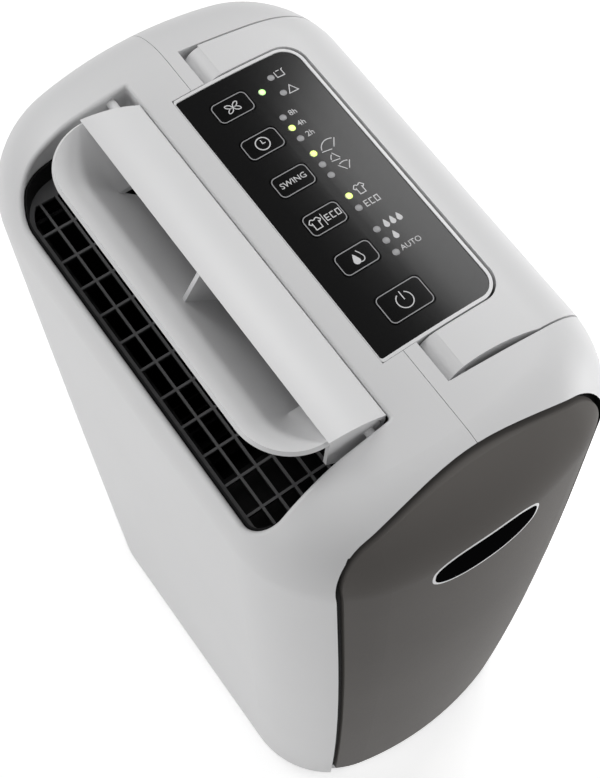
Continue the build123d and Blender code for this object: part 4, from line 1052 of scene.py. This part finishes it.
@dataclass
class Machinery:
    """Everything sealed inside the housing."""

    def dress(self) -> None:
        """Gives the inner nodes their finishes."""
        paint_all({
            Finishes.CASING: ("scroll_left", "scroll_right", "blower_wheel"),
            Finishes.INNER: ("rotor_frame", "regen_housing", "regen_wheel", "condenser"),
            Finishes.STEEL: (
                "fan_motor", "motor_bracket", "rotor_axle", "gear_motor",
                "heater_cover", "heater_rods", "regen_motor",
            ),
            Finishes.NYLON: ("drive_pinion",),
            Finishes.ZEOLITE: ("desiccant_rotor",),
            Finishes.BOARD: ("main_board",),
        })


@dataclass(frozen=True)
class Softbox:
    """A square soft light.

    Attributes:
        name: Name of the light.
        at: Position in metres.
        target: Point that it faces.
        size: Side in metres.
        power: Power in watts.
    """

    name: str
    at: Point3
    target: Point3
    size: float
    power: float

    def add(self) -> None:
        """Hangs the light in the scene."""
        light = bpy.data.lights.new(self.name, "AREA")
        light.size = self.size
        light.energy = self.power
        holder = bpy.data.objects.new(self.name, light)
        holder.location = Vector(self.at)
        aim = Vector(self.target) - Vector(self.at)
        holder.rotation_euler = aim.to_track_quat("-Z", "Y").to_euler()
        bpy.context.scene.collection.objects.link(holder)


@dataclass
class Studio:
    """Pale floor, soft lights and the camera.

    Attributes:
        eye: Camera position in metres.
        right: Camera's right direction.
        down: Camera's down direction.
        lens: Focal length in millimetres on a 36 mm long side.
        floor_size: Side of the floor in metres.
        floor_tone: Grey of the floor.
        floor_lift: Light added to the floor for camera, glossy and transmission rays.
        sky: Strength of the surrounding light.
        softboxes: Soft lights round the object.
    """

    eye: Point3 = (-0.19605, -0.29844, 0.95588)
    right: Point3 = (0.81017, -0.58575, -0.02281)
    down: Point3 = (-0.52199, -0.70317, -0.48277)
    lens: float = 58.77
    floor_size: float = 12.0
    floor_tone: float = 0.85
    floor_lift: float = 0.5
    sky: float = 0.3
    softboxes: tuple[Softbox, ...] = (
        Softbox("left_softbox", (-1.5, 0.0, 1.0), (0.0, 0.0, 0.35), 1.0, 6.6),
        Softbox("rear_softbox", (-0.5, 1.2, 1.9), (0.0, 0.0, 0.45), 0.9, 9.0),
        Softbox("right_softbox", (1.1, 0.4, 1.6), (0.0, 0.0, 0.45), 0.6, 8.0),
        Softbox("front_softbox", (1.35, -0.8, 0.5), (0.0, -0.1, 0.3), 0.8, 11.0),
    )

    def build(self) -> None:
        """Sets up the whole studio."""
        bpy.context.scene.view_settings.view_transform = "Standard"
        self._floor()
        self._sky()
        for softbox in self.softboxes:
            softbox.add()
        self._camera()

    def _floor(self) -> None:
        """Lays a pale floor that keeps the shadow."""
        mesh = bmesh.new()
        bmesh.ops.create_grid(mesh, x_segments=8, y_segments=8, size=self.floor_size / 2)
        data = bpy.data.meshes.new("floor")
        mesh.to_mesh(data)
        mesh.free()
        floor = bpy.data.objects.new("floor", data)
        bpy.context.scene.collection.objects.link(floor)
        data.materials.append(self._floor_material())

    def _floor_material(self) -> bpy.types.Material:
        """Returns the floor's material, lifted towards white for the rays that see it."""
        made = bpy.data.materials.new("pale_floor")
        made.use_nodes = True
        tree = made.node_tree
        shader = tree.nodes["Principled BSDF"]
        shader.inputs["Base Color"].default_value = (self.floor_tone,) * 3 + (1.0,)
        shader.inputs["Roughness"].default_value = 0.9
        shader.inputs["Emission Color"].default_value = (1.0, 1.0, 1.0, 1.0)
        seen = self._seen_rays(tree)
        lift = tree.nodes.new("ShaderNodeMath")
        lift.operation = "MULTIPLY"
        lift.inputs[1].default_value = self.floor_lift
        tree.links.new(seen, lift.inputs[0])
        tree.links.new(lift.outputs[0], shader.inputs["Emission Strength"])
        return made

    @staticmethod
    def _seen_rays(tree: bpy.types.NodeTree) -> bpy.types.NodeSocket:
        """Returns a socket that is 1 for camera, glossy and transmission rays."""
        path = tree.nodes.new("ShaderNodeLightPath")
        total = path.outputs["Is Camera Ray"]
        for name in ("Is Glossy Ray", "Is Transmission Ray"):
            joined = tree.nodes.new("ShaderNodeMath")
            joined.operation = "MAXIMUM"
            tree.links.new(total, joined.inputs[0])
            tree.links.new(path.outputs[name], joined.inputs[1])
            total = joined.outputs[0]
        return total

    def _sky(self) -> None:
        """Surrounds the object with soft white light."""
        world = bpy.data.worlds.new("studio_white")
        world.use_nodes = True
        shade = world.node_tree.nodes["Background"]
        shade.inputs["Color"].default_value = (1.0, 1.0, 1.0, 1.0)
        shade.inputs["Strength"].default_value = self.sky
        bpy.context.scene.world = world

    def _camera(self) -> None:
        """Sets the camera at the photograph's viewpoint."""
        lens = bpy.data.cameras.new("camera")
        lens.lens = self.lens
        lens.sensor_width = 36.0
        lens.clip_start = 0.01
        right, down = Vector(self.right).normalized(), Vector(self.down).normalized()
        back = right.cross(-down).normalized()
        turn = Matrix((right, -down, back)).transposed().to_4x4()
        holder = bpy.data.objects.new("camera", lens)
        holder.matrix_world = Matrix.Translation(Vector(self.eye)) @ turn
        bpy.context.scene.collection.objects.link(holder)
        bpy.context.scene.camera = holder


def main() -> None:
    """Dresses every sub-assembly and sets the studio."""
    logging.basicConfig(level=logging.INFO, format="%(name)s: %(message)s")
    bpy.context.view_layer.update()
    for assembly in (Housing(), Outlet(), Controls(Deck()), Handle(), WaterTank(), Machinery()):
        assembly.dress()
    Studio().build()


if __name__ == "__main__":
    main()
